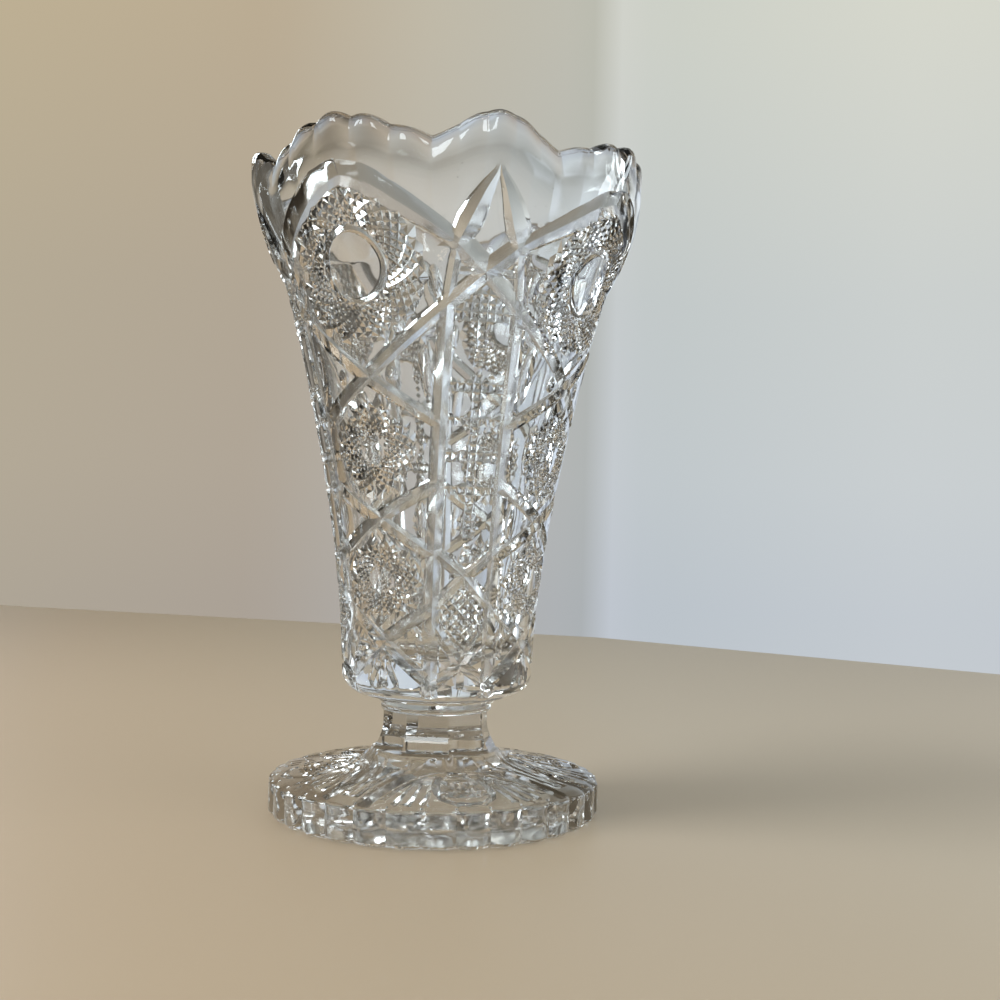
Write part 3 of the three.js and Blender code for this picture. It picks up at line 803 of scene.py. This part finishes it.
def beadPanelShapes(panel, p=patternHeights, z=beadPattern):
    shapes, strokes = [], []

    def straight(a, b, half, depth):
        strokes.append((a, b, half))
        shapes.append(groove(panel, [a, b], half, depth))
    heights = np.linspace(p["grooveFoot"], p["starFoot"], z["sideSteps"])
    shapes.append(groove(panel, [(beadPanelHalf(h), h) for h in heights], *z["side"]))
    straight((p["starFootHalf"], p["starFoot"]), (p["springHalf"], p["spring"]), *z["shoulder"])
    for side in (1, -1):
        straight((0, p["star"]), (side * p["springHalf"], p["spring"]), *z["upperRay"])
        straight((0, p["star"]), (side * p["starFootHalf"], p["starFoot"]), *z["lowerRay"])
    tip, *tipCut = z["leafTip"]
    leaf = [(p["springHalf"], p["spring"], *z["leafFoot"]), *z["leaf"], (tip, p["lancet"], *tipCut)]
    shapes.append(groove(panel, [(across, p["star"] + up, *cut) for across, up, *cut in z["levelRay"]]))
    shapes.append(groove(panel, leaf))
    top, foot, shoulder = p["lozengeTop"], p["lozengeFoot"], z["lozengeShoulder"]
    across, upper, lower = z["lozengeSide"]
    leg = z["lozengeLeg"]
    for side in (1, -1):
        ends = (((side * beadPanelHalf(shoulder), shoulder), (0, top)), ((0, top), (side * across, upper)),
                ((side * across, lower), (0, foot)), ((0, foot), (side * leg[0], leg[1])))
        for (a, b), cut in zip(ends, z["lozengeGrooves"]):
            straight(a, b, *cut)
    shapes.append(groove(panel, z["footCut"]))
    shapes.append(mitres(panel, strokes))
    start = -patternSizes["overlap"]
    beads = [(p["beadAside"], p["lowestBead"] + row * p["beadPitch"]) for row in range(p["beads"])]
    shapes += [dome(panel, bead, *z["bead"]) for bead in beads]

    def inFile(x, y):
        low = top + abs(x) * z["fileLow"][0] + z["fileLow"][1]
        high = p["star"] - abs(x) * z["fileHigh"][0] - z["fileHigh"][1]
        halfAcross, halfUp, clearance = z["beadRoom"]
        nearest = min(math.hypot((x - bx) / halfAcross, (y - by) / halfUp) for bx, by in beads)
        return start <= x <= z["fileHalf"] and low <= y <= high and nearest > clearance

    def inLozenge(x, y):
        low = foot + abs(x) * z["lozengeLow"][0] + z["lozengeLow"][1]
        high = top - abs(x) * z["lozengeHigh"][0] - z["lozengeHigh"][1]
        return start < x < z["lozengeHalf"] and low < y < high
    return shapes + [addFile(panel, inFile, z["file"]), addFile(panel, inLozenge, z["lozengeFile"])]


def starPanelShapes(panel, p=patternHeights, z=starPattern):
    shapes, strokes = [], []
    archHalf, archRise = starPanelHalf(p["spring"]), p["wideArch"] - p["spring"]
    narrow, more, depth = z["arch"]
    arch = [(-archHalf * t, p["wideArch"] - archRise * t ** p["archCurve"],
             narrow + more * math.sin(math.pi * t), depth) for t in np.linspace(1, 0, z["archSteps"])]
    shapes.append(groove(panel, arch))
    for middle, up, down in p["crossings"]:
        for side in (-1, 1):
            for end in (up, down):
                a, b = (side * starPanelHalf(end), end), (0, middle)
                strokes.append((a, b, z["crossing"][0]))
                if side < 0:
                    shapes.append(groove(panel, [a, b], *z["crossing"]))
    shapes.append(mitres(panel, strokes))

    def leftHalf(x, y):
        return x < z["overlap"]

    def underArch(x, y):
        top = p["wideArch"] - z["roseRoom"] - archRise * (abs(x) / archHalf) ** p["archCurve"]
        return x < z["overlap"] and y < top
    middle = (0, p["button"])
    radius, half, depth = z["ring"]
    turns = np.linspace(0, 2 * np.pi, z["button"][2] + 1)
    ring = [(radius * math.sin(a), p["button"] + radius * math.cos(a)) for a in turns]
    shapes += [button(panel, middle, *z["button"]), groove(panel, ring, half, depth, closed=True),
               roseCells(panel, underArch, middle, *z["rose"])]
    for height, rose in z["smallRoses"]:
        shapes += [button(panel, (0, height), *z["smallButton"]),
                   roseCells(panel, leftHalf, (0, height), *rose)]
    for across, up, *sizes in z["ovals"]:
        shapes.append(scoop(panel, across - starPanelHalf(up), up, *sizes, z["ovalSides"]))
    shapes.append(scoop(panel, *z["dimple"]))
    return shapes + [groove(panel, path, *z["footCut"]) for path in z["footCuts"]]


def backgroundSpots(box, mmPerDegree, rows):
    # loose points where the wall is plain: rows are (height, step)
    spots = []
    (a0, a1), _ = box
    for k, (h, step) in enumerate(rows):
        count = max(2, round((a1 - a0) * mmPerDegree / step))
        for i in range(count + 1):
            a = a0 + (a1 - a0) * (i + (0.5 if k % 2 else 0)) / count
            if a0 < a < a1:
                spots.append((a, h))
        spots += [(a0, h), (a1, h)]
    return np.array(spots)


bowlRows = {
    "mmPerDegree": 0.56,
    "spots": ((5.6, 106, 2.2, 2.2), (107, 117.4, 1.0, 1.1)),  # from, to, apart up the wall and across
    "lipSteps": (0.5, 1, 2),  # fine, middle and coarse
    "lipTurn": 12,
    "upperInside": (121, 120, 118.7, 117, 115, 113, 111, 109),
    "lowerInside": (106, 24),  # from, and rows
    "coarserBelow": (112, 60),
    "floorTurn": 10,
    "floorRings": (0.66, 0.33),
    "base": (3.3, 2.4, 1.7, 1.1, 0.65, 0.3, 0.08, 0.0),
    "baseFade": 1.5,
}


def makeBowlSlice(z=bowlSizes, rows=bowlRows):
    shapes = beadPanelShapes(makePanel(0, bowlRadius)) + starPanelShapes(makePanel(45, bowlRadius))
    box = ((0.0, 45.0), (z["patternFoot"], z["patternTop"]))
    spots = [(h, across) for low, high, step, across in rows["spots"] for h in np.arange(low, high, step)]
    fine, middle, coarse = (lipAngles(step) for step in rows["lipSteps"])
    spots = backgroundSpots(box, rows["mmPerDegree"], spots)
    places, relief, patternFaces = layOut(shapes, box, rows["mmPerDegree"], spots, fine, middle)
    verts = [bowlPoint(a, h, d) for (a, h), d in zip(places, relief)]
    faces = [tuple(f) for f in patternFaces]
    print(f"bowl pattern: {len(faces)} faces in an eighth")

    row = rowOf(places, z["patternTop"])
    row = grow(verts, faces, row, [bowlPoint(a, (z["patternTop"] + lipWidest) / 2) for a in fine])
    shade = []
    for turn in range(0, 181, rows["lipTurn"]):
        row = grow(verts, faces, row, [lipPoint(a, turn) for a in fine])
        shade += [(vertex, lipShade(a, turn)) for vertex, a in zip(row, fine)]
    insideStart = len(verts)

    def wall(h):
        share = (h - z["floorHeight"]) / (lipSizes["height"] - z["floorHeight"])
        return z["lowerWall"] + (z["upperWall"] - z["lowerWall"]) * share
    floorEdge = z["floorHeight"] + z["floorRound"]
    (insideTop, insideCount), (middleBelow, coarseBelow) = rows["lowerInside"], rows["coarserBelow"]
    for h in (*rows["upperInside"], *np.linspace(insideTop, floorEdge, insideCount)):
        angles = fine if h >= middleBelow else middle if h >= coarseBelow else coarse
        row = grow(verts, faces, row, [bowlPoint(a, h, inset=wall(h)) for a in angles])
    foot = bowlRadius(floorEdge) - wall(floorEdge)
    floor = []
    for turn in range(rows["floorTurn"], 91, rows["floorTurn"]):
        t = math.radians(turn)
        r = foot - z["floorRound"] * (1 - math.cos(t))
        floor.append((r, z["floorHeight"] + z["floorRound"] * (1 - math.sin(t))))
    flat = floor[-1][0]
    for r, h in floor + [(flat * share, z["floorHeight"]) for share in rows["floorRings"]]:
        row = grow(verts, faces, row, [polar(r, a, z["seat"] + h) for a in angles])
    pole = addRow(verts, [(0, 0, z["seat"] + z["floorHeight"])])[0]
    faces += cap(row, pole)
    inside = range(insideStart, len(verts))

    row = rowOf(places, z["patternFoot"])
    footRelief = [relief[k] for k in row]
    for h in rows["base"]:
        fade = (h / z["patternFoot"]) ** rows["baseFade"]
        points = [bowlPoint(a, h, d * fade) for a, d in zip(middle, footRelief)]
        row = grow(verts, faces, row, points, below=True)
    row = grow(verts, faces, row, [polar(z["jointRadius"], a, z["seat"]) for a in middle], below=True)
    pole = addRow(verts, [(0, 0, z["seat"])])[0]
    joint = range(len(faces), len(faces) + len(row) - 1)
    faces += cap(row, pole, flip=True)
    return sliceMesh("bowlSlice", verts, faces, joint, relief, inside, shade)


bowl = makePiece("vaseBowl", makeBowlSlice(), makeGlass("bowlGlass"), bowlSizes["sharp"])


# foot

footSizes = {
    "radius": 40.6,
    "edgeHeight": 8.7,
    "sweepRadius": 19.0,
    "sweepHeight": 12.85,
    "sweepCurve": 2.2,
    "landHeight": 15.4,
    "landRadius": 15.6,
    "pads": 32,
    "padBulge": 1.2,
    "padCurve": 2.4,
    "edgeRound": 1.1,
    "edgeShare": 0.25,  # of the pads' bulge that the rounding takes off
    "footRound": 1.7,
    "notchRise": 1.0,
    "notchHeight": 2.4,
    "notchCurve": 3,
    "ringOuter": 37.6,
    "ringInner": 30.8,
    "hollowHeight": 4.8,
    "patternEdge": 38.5,
    "padFade": (34.5, 4, 0.25),  # where the pads start on top, over how far, and how strong
    "columns": 12,  # to each pad
    "sharp": 22,
}

footPattern = {
    "archAngle": 36.6,
    "archTop": 16.9,
    "archCurves": (2.9, 1.9),
    "archSteps": 17,
    "arch": (1.65, 1.5),  # half width and depth
    "shade": 0.5,
    "shadeCut": 0.5,  # depth of an arch that gathers all its shade
    # away from the arch, half width and depth
    "lines": ((2.9, 0.55, 0.55), (5.0, 0.65, 0.8), (7.2, 0.65, 0.8), (9.4, 0.6, 0.7), (11.6, 0.55, 0.6),
              (-2.7, 0.5, 0.5)),
    "lineRadii": (16.4, 36.8),
    "lineAngles": (0.4, 44),
    "medallion": ((0, 17.9), (2.6, 20.2), (4.6, 23.4), (5.9, 27.4), (6.3, 31), (5.7, 34), (3.4, 36.2),
                  (0, 36.8)),
    "medallionCut": (0.9, 1.0),
    "fileEdge": ((0, 20.4), (2.0, 22.4), (3.3, 25), (4.2, 28.2), (4.4, 31), (3.9, 33.2), (2.4, 34.6),
                 (0, 35)),
    "fileGap": 0.3,
    "fileRadii": (25, 34.4),
    "file": {"cell": (1.9, 1.9), "turn": 45, "depth": 0.8, "centre": (0, 29.5), "reach": 6},
    "bars": ((1.1, 20.9), (1.8, 22.3), (2.6, 23.8)),  # half length and radius
    "bar": (0.4, 0.5),
    "rays": ((16.5, 29.5), (21, 25.5), (26, 27)),  # angle and inner radius
    "rayEnds": ((0.9, 0.3, 0.2), (36.6, 0.8, 0.7)),
    "teeth": {"cell": (2.1, 1.7), "turn": 0, "depth": 0.6, "centre": (0, 37.1), "reach": 20},
    "teethHalf": 11,
    "teethRadii": (36, 38),
}

footRows = {
    "mmPerDegree": 0.5,
    "spots": ((16.4, 20, 0.7, 1.3), (20.6, 37.6, 1.5, 1.9)),  # from, to, apart outward and apart round
    # radius and share of its height
    "hollow": ((8, 0.995), (15.2, 0.92), (21.5, 0.74), (26, 0.5), (28.6, 0.3), (30.0, 0.1)),
    "ring": (34, footSizes["ringOuter"] - 0.5),
    "footTurns": (0, 25, 50, 75, 90),
    "edge": (3.0, 4.3, 5.6, 6.7),
    "topTurns": (0, 20, 45, 70, 90),
}


def footTop(r, z=footSizes):
    fall = (z["sweepHeight"] - z["edgeHeight"]) / (z["radius"] - z["sweepRadius"])
    cone = z["sweepHeight"] - (r - z["sweepRadius"]) * fall
    landCone = z["sweepHeight"] + (z["sweepRadius"] - z["landRadius"]) * fall
    share = max(0.0, (z["sweepRadius"] - r) / (z["sweepRadius"] - z["landRadius"]))
    return cone + (z["landHeight"] - landCone) * share ** z["sweepCurve"]


def footShapes(panel, z=footPattern):
    # the panel is centred on an arch, and up is the radius. The first shape is the arch.
    leg = []
    angleCurve, radiusCurve = z["archCurves"]
    for t in np.linspace(0, 1, z["archSteps"]):
        angle = z["archAngle"] * (1 - (1 - t) ** angleCurve)
        r = z["archTop"] + (footSizes["radius"] + 1 - z["archTop"]) * t ** radiusCurve
        leg.append((math.radians(angle) * r, r))
    leg = np.array(leg)
    shapes = [groove(panel, leg, *z["arch"])]
    along = np.gradient(leg, axis=0)
    aside = np.stack([along[:, 1], -along[:, 0]], 1) / np.linalg.norm(along, axis=1)[:, None]
    (nearest, farthest), (first, last) = z["lineRadii"], z["lineAngles"]
    for away, half, depth in z["lines"]:
        line = [tuple(p) for p in leg + aside * away
                if nearest < p[1] < farthest and first < math.degrees(p[0] / p[1]) < last]
        if len(line) > 2:
            shapes.append(groove(panel, line, half, depth))
    shapes.append(groove(panel, z["medallion"], *z["medallionCut"]))
    edge, start = np.array(z["fileEdge"]), -patternSizes["overlap"]

    def inMedallion(x, y):
        outside = np.interp(y, edge[:, 1], edge[:, 0]) - z["fileGap"]
        return start < x < outside and z["fileRadii"][0] < y < z["fileRadii"][1]

    def inTeeth(x, y):
        return start < x < z["teethHalf"] and z["teethRadii"][0] < y < z["teethRadii"][1]
    shapes.append(addFile(panel, inMedallion, z["file"]))
    for reach, up in z["bars"]:
        shapes.append(groove(panel, [(0, up), (reach, up)], *z["bar"]))
    (inward, *thin), (outer, *thick) = z["rayEnds"]
    for angle, inner in z["rays"]:
        a = math.radians(angle)
        shapes.append(groove(panel, [(a * inner * inward, inner, *thin), (a * outer, outer, *thick)]))
    return shapes + [addFile(panel, inTeeth, z["teeth"])]


def padShape(angle, z=footSizes):
    share = angle * z["pads"] / 360 + 0.5
    return abs(2 * (share - math.floor(share)) - 1)  # 0 in the middle of a pad, 1 at a notch


def footPoint(angle, r, height, bulge, z=footSizes):
    return polar(r - z["padBulge"] * bulge * padShape(angle) ** z["padCurve"], angle, height)


def makeFootSlice(z=footSizes, rows=footRows):
    shapes = footShapes(makePanel(0, lambda r: r))
    box = ((0.0, 45.0), (z["landRadius"], z["patternEdge"]))
    count = z["pads"] * z["columns"] // 8
    fine = [45 * k / count for k in range(count + 1)]
    coarse = fine[::2]
    spots = [(r, across) for low, high, step, across in rows["spots"] for r in np.arange(low, high, step)]
    spots = backgroundSpots(box, rows["mmPerDegree"], spots)
    places, relief, patternFaces = layOut(shapes, box, rows["mmPerDegree"], spots, fine, coarse)
    fadeStart, fadeRun, fadeShare = z["padFade"]
    verts = [footPoint(a, r, footTop(r) + d, fadeShare * max(0, (r - fadeStart) / fadeRun))
             for (a, r), d in zip(places, relief)]
    faces = [tuple(f[::-1]) for f in patternFaces]
    print(f"foot pattern: {len(faces)} faces in an eighth")
    arch = heightAt(shapes[0], places[:, 0], places[:, 1])
    full, cut = footPattern["shade"], footPattern["shadeCut"]
    shade = [(k, full * min(1, max(0, -d / cut))) for k, d in enumerate(arch)]

    pole = addRow(verts, [(0, 0, z["hollowHeight"])])[0]
    row = None
    under = [(r, z["hollowHeight"] * share) for r, share in rows["hollow"]] + [(z["ringInner"], 0)]
    for r, height in under + [(r, 0) for r in rows["ring"]]:
        nextRow = addRow(verts, [polar(r, a, height) for a in coarse])
        faces += strip(row, nextRow) if row else [(pole, a, b) for a, b in zip(nextRow, nextRow[1:])]
        row = nextRow
    unpolished = range(len(places), len(verts))
    edge = []
    for turn in rows["footTurns"]:
        sine, cosine = math.sin(math.radians(turn)), math.cos(math.radians(turn))
        r = z["ringOuter"] + (z["radius"] - z["ringOuter"]) * sine
        edge.append((r, z["footRound"] * (1 - cosine), sine))
    edge += [(z["radius"], height, 1) for height in rows["edge"]]
    for turn in rows["topTurns"]:
        sine, cosine = math.sin(math.radians(turn)), math.cos(math.radians(turn))
        height = z["edgeHeight"] - z["edgeRound"] * (1 - sine)
        edge.append((z["radius"] - z["edgeRound"] * (1 - cosine), height, 1 - z["edgeShare"] * sine))
    for r, height, bulge in edge:
        rise = z["notchRise"] * max(0, 1 - height / z["notchHeight"]) * bulge
        row = grow(verts, faces, row, [
            footPoint(a, r, height + rise * padShape(a) ** z["notchCurve"], bulge) for a in fine])
    faces += strip(row, rowOf(places, z["patternEdge"]))
    row = rowOf(places, z["landRadius"])
    row = grow(verts, faces, row, [
        polar(stemRadius(a, stemSizes["baseRadius"]), a, z["landHeight"]) for a in coarse])
    pole = addRow(verts, [(0, 0, z["landHeight"])])[0]
    joint = range(len(faces), len(faces) + len(row) - 1)
    faces += cap(row, pole)
    return sliceMesh("footSlice", verts, faces, joint, relief, unpolished, shade)


# stem and collar

stemSizes = {
    "seat": 15.4,
    "height": 9.45,
    "neckRadius": 13.2,
    "baseRadius": 15.5,
    "flareHeight": 6.4,
    "flareCurve": 1.8,
    "flareRows": 12,
    "neckRows": (0.5, 1),
    "columns": 12,
    "sharp": 25,
}

collarSizes = {
    "seat": 24.85,
    "height": 3.4,
    "inset": 0.1,  # of its foot from the stem's neck
    "neckRadius": 13.1,
    "beadRadius": 0.65,
    "beadTurns": (-80, 90, 11),
    "ringRadius": 14.9,
    "ringEdge": 0.7,
    "ringCurve": 0.8,
    "ringStart": 0.12,
    "ringRows": 6,
    "edgeTurns": (30, 60, 90),
    "edgeShare": 0.7,
    "sharp": 32,
}


def stemRadius(angle, corner):
    # an eight-sided outline with its corners at the panels' middles
    flat = corner * math.cos(math.radians(22.5))
    return flat / math.cos(math.radians(angle % 45 - 22.5))


def makeRowsSlice(name, rows):
    # rows run from the underside to the top: (angle -> radius, height)
    angles = list(np.linspace(0, 45, stemSizes["columns"] + 1))
    verts, faces, row = [], [], None
    for radiusAt, height in rows:
        nextRow = addRow(verts, [polar(radiusAt(a), a, height) for a in angles])
        if row:
            faces += strip(row, nextRow)
        row = nextRow
    sides = len(faces)
    for ends, height, flip in ((range(len(angles)), rows[0][1], True), (row, rows[-1][1], False)):
        pole = addRow(verts, [(0, 0, height)])[0]
        faces += cap(ends, pole, flip)
    return sliceMesh(name, verts, faces, range(sides, len(faces)))


def makeStemSlice(z=stemSizes):
    rows = []
    for share in np.linspace(0, 1, z["flareRows"]):
        corner = z["neckRadius"] + (z["baseRadius"] - z["neckRadius"]) * (1 - share) ** z["flareCurve"]
        rows.append((lambda a, c=corner: stemRadius(a, c), z["seat"] + z["flareHeight"] * share))
    for share in z["neckRows"]:
        height = z["seat"] + z["flareHeight"] + (z["height"] - z["flareHeight"]) * share
        rows.append((lambda a: stemRadius(a, z["neckRadius"]), height))
    return makeRowsSlice("stemSlice", rows)


def makeCollarSlice(z=collarSizes):
    rings = []
    for turn in np.linspace(*z["beadTurns"]):
        t = math.radians(turn)
        rings.append((z["neckRadius"] + z["beadRadius"] * math.cos(t), z["beadRadius"] * (1 + math.sin(t))))
    low, high = 2 * z["beadRadius"], z["height"] - z["ringEdge"]
    for share in np.linspace(z["ringStart"], 1, z["ringRows"]):
        r = z["neckRadius"] + (z["ringRadius"] - z["neckRadius"]) * share ** z["ringCurve"]
        rings.append((r, low + (high - low) * share))
    for turn in z["edgeTurns"]:
        t = math.radians(turn)
        r = z["ringRadius"] - z["ringEdge"] * (1 - math.cos(t)) * z["edgeShare"]
        rings.append((r, high + z["ringEdge"] * math.sin(t)))
    rows = [(lambda a: stemRadius(a, stemSizes["neckRadius"] - z["inset"]), z["seat"])]
    rows += [(lambda a, r=r: r, z["seat"] + h) for r, h in rings]
    return makeRowsSlice("collarSlice", rows)


footGlass = makeGlass("footGlass", inner=glassSizes["footRoughness"], shadow=glassSizes["footShadow"])
# the stem's darker tint is painted shade
stemGlass = makeGlass("stemGlass", glassSizes["turnedWaves"], tintAndShade=glassSizes["stemShadeTint"])
collarGlass = makeGlass("collarGlass", glassSizes["turnedWaves"])
foot = makePiece("vaseFoot", makeFootSlice(), footGlass, footSizes["sharp"])
stem = makePiece("vaseStem", makeStemSlice(), stemGlass, stemSizes["sharp"])
collar = makePiece("vaseCollar", makeCollarSlice(), collarGlass, collarSizes["sharp"])

for piece, node in ((bowl, "bowl"), (foot, "foot"), (stem, "stem"), (collar, "collar")):
    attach(piece, "root")
    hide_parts(node)
print("vase in place")


# table, room light and lamps. Directions are degrees round the vase, from straight behind it as the
# camera sees it, to the right.

stageSizes = {
    # across and away, as the camera stands
    "tableCorners": ((-520, -700), (700, -700), (560, 330), (300, 590), (68, 779), (-413, 945), (-800, 1080)),
    "tableLeft": (0.395, 0.322, 0.240, 1),
    "tableRight": (0.415, 0.375, 0.305, 1),
    "tableFade": (-120, 100),
    "tableRoughness": 0.42,
    "tableShine": 0.35,
    "wall": ((-24, (0.46, 0.40, 0.30)), (-12, (0.44, 0.38, 0.30)), (-4, (0.47, 0.45, 0.40)),
             (3, (0.46, 0.47, 0.45)), (4.7, (0.44, 0.46, 0.44)), (5.3, (0.57, 0.60, 0.61)),
             (7.5, (0.54, 0.58, 0.58)), (20, (0.60, 0.63, 0.62)), (60, (0.58, 0.60, 0.58)),
             (120, (0.47, 0.46, 0.43))),
    # by the sine of the height
    "wallRise": ((-0.06, (0.92, 0.94, 1.02)), (0.05, (0.98, 0.99, 1.03)), (0.2, (1.0, 1.0, 1.0)),
                 (0.41, (1.12, 1.08, 0.98))),
    # how bright the glass sees the room
    "roomTurn": ((-178, 0.24), (-150, 0.15), (-128, 0.36), (-112, 0.22), (-62, 0.28), (-44, 0.22),
                 (-31, 0.22), (-20, 1.06), (18, 1.06), (30, 1.42), (42, 1.2), (54, 0.34), (70, 0.24),
                 (96, 0.85), (120, 0.24), (150, 0.42), (178, 0.24)),
    "roomRise": ((-1.0, 0.5), (-0.3, 0.8), (0.0, 1.0), (0.28, 1.05), (0.42, 0.45), (0.75, 0.5), (0.85, 1.2),
                 (1.0, 0.7)),
    # direction, half width, middle and half height (as sines), strength in reflection and through the glass
    "windows": ((-132, 4.0, 0.42, 0.12, 9, 3.2), (-122, 4.0, 0.42, 0.12, 9, 3.2),
                (-33, 4.5, 0.48, 0.15, 8, 1.8), (-163, 4.0, 0.38, 0.1, 9, 3.2), (66, 3.5, 0.15, 0.22, 6, 3.0),
                (78, 3.5, 0.15, 0.22, 6, 3.0), (164, 3.0, 0.45, 0.14, 9, 3.2)),
    "roomTone": (1.05, 1.09, 1.18),
    "windowTone": (0.86, 0.95, 1.0),
    "aim": 80,  # height that the lamps point at
    "key": {"energy": 5.0, "size": (300, 300), "place": (-560, -20, 600), "color": (1.0, 0.98, 0.95)},
    "fill": {"energy": 1.2, "size": (500, 500), "place": (460, -360, 480), "color": (1.0, 0.97, 0.93)},
    "lamp": {"energy": 0.05, "radius": 6.0, "place": (-60, -520, 700), "spread": 34.0, "count": 5,
             "color": (1.0, 0.86, 0.66)},
}


def makeTable(z=stageSizes):
    mesh = bpy.data.meshes.new("table")
    turn = math.radians(-cameraSizes["turn"])
    spots = [(x + cameraSizes["aside"], y - cameraSizes["distance"]) for x, y in z["tableCorners"]]
    c, s = math.cos(turn), math.sin(turn)
    ring = [((x * c - y * s) * mm, (x * s + y * c) * mm, 0) for x, y in spots]
    mesh.from_pydata(ring, [], [tuple(range(len(ring)))])
    table = bpy.data.objects.new("table", mesh)
    scene.collection.objects.link(table)
    material = bpy.data.materials.new("paleTable")
    material.use_nodes = True
    tree = material.node_tree
    place = addNode(tree, "ShaderNodeSeparateXYZ", {0: addNode(tree, "ShaderNodeTexCoord").outputs["Object"]})
    start, end = z["tableFade"]
    fade = addNode(tree, "ShaderNodeMapRange", {
        "Value": place.outputs["X"], "From Min": start * mm, "From Max": end * mm})
    mix = addNode(tree, "ShaderNodeMix", {
        "Factor": fade.outputs[0], colorA: z["tableLeft"], colorB: z["tableRight"]}, data_type="RGBA")
    shader = tree.nodes["Principled BSDF"]
    tree.links.new(mix.outputs[colorOut], shader.inputs["Base Color"])
    shader.inputs["Roughness"].default_value = z["tableRoughness"]
    shader.inputs["Specular IOR Level"].default_value = z["tableShine"]
    mesh.materials.append(material)


def makeRoom(z=stageSizes):
    # plain pale walls for the eye; glass also sees the darker corners and bright windows of a room
    world = bpy.data.worlds.new("room")
    world.use_nodes = True
    scene.world = world
    tree = world.node_tree
    tree.nodes.clear()
    place = addNode(tree, "ShaderNodeTexCoord").outputs["Generated"]
    way = addNode(tree, "ShaderNodeSeparateXYZ", {0: place}).outputs
    rays = addNode(tree, "ShaderNodeLightPath").outputs

    def colors(operation, *values):
        return compute(tree, operation, *values, kind="ShaderNodeVectorMath")

    def ramp(value, stops, low, high):
        node = addNode(tree, "ShaderNodeValToRGB", {0: value})
        elements = node.color_ramp.elements
        while len(elements) < len(stops):
            elements.new(0.5)
        for element, (position, color) in zip(elements, stops):
            element.position = (position - low) / (high - low)
            element.color = (*color, 1) if isinstance(color, tuple) else (color, color, color, 1)
        return node.outputs[0]
    degrees = compute(tree, "MULTIPLY", compute(tree, "ARCTAN2", way["X"], way["Y"]), 180 / math.pi)
    behind = 0.5 - cameraSizes["turn"] / 360
    turned = compute(tree, "FRACT", compute(tree, "MULTIPLY_ADD", degrees, 1 / 360, behind))
    rise = compute(tree, "MULTIPLY_ADD", way["Z"], 0.5, 0.5)
    plain = colors("MULTIPLY", ramp(turned, z["wall"], -180, 180), ramp(rise, z["wallRise"], -1, 1))
    light = colors("MULTIPLY", ramp(turned, z["roomTurn"], -180, 180), ramp(rise, z["roomRise"], -1, 1))
    room = colors("MULTIPLY", colors("MULTIPLY", plain, z["roomTone"]), light)
    for turn, half, middle, halfRise, glossy, through in z["windows"]:
        pane = compute(tree, "MULTIPLY", compute(tree, "COMPARE", turned, 0.5 + turn / 360, half / 360),
                       compute(tree, "COMPARE", way["Z"], middle, halfRise))
        strength = compute(tree, "MULTIPLY_ADD", rays["Is Glossy Ray"], glossy - through, through)
        room = colors("MULTIPLY_ADD", compute(tree, "MULTIPLY", pane, strength), z["windowTone"], room)
    wall = addNode(tree, "ShaderNodeBackground", {"Color": plain})
    inside = addNode(tree, "ShaderNodeBackground", {"Color": room})
    seen = compute(tree, "MAXIMUM", rays["Is Glossy Ray"], rays["Is Transmission Ray"])
    choose = addNode(tree, "ShaderNodeMixShader", {0: seen, 1: wall.outputs[0], 2: inside.outputs[0]})
    addNode(tree, "ShaderNodeOutputWorld", {"Surface": choose.outputs[0]})


def makeLamps(z=stageSizes):
    def addLamp(name, kind, values, place):
        data = bpy.data.lights.new(name, kind)
        data.energy, data.color = values["energy"], values["color"]
        lamp = bpy.data.objects.new(name, data)
        spot = Vector(place) * mm
        aim = (Vector((0, 0, z["aim"] * mm)) - spot).to_track_quat("-Z", "Y").to_matrix().to_4x4()
        lamp.matrix_world = Matrix.Translation(spot) @ aim
        lamp.visible_camera = False
        scene.collection.objects.link(lamp)
        return lamp
    for name in ("key", "fill"):
        lamp = addLamp(name, "AREA", z[name], z[name]["place"])
        lamp.data.shape = "RECTANGLE"
        lamp.data.size, lamp.data.size_y = (side * mm for side in z[name]["size"])
        lamp.visible_transmission = lamp.visible_glossy = False
    values = z["lamp"]
    x, y, h = values["place"]
    for k in range(values["count"]):
        a = 2 * math.pi * k / values["count"]
        spot = (x + values["spread"] * math.cos(a), y + values["spread"] * math.sin(a), h)
        addLamp("ceilingLamp", "POINT", values, spot).data.shadow_soft_size = values["radius"] * mm


makeTable()
makeRoom()
makeLamps()
print("table and light ready")
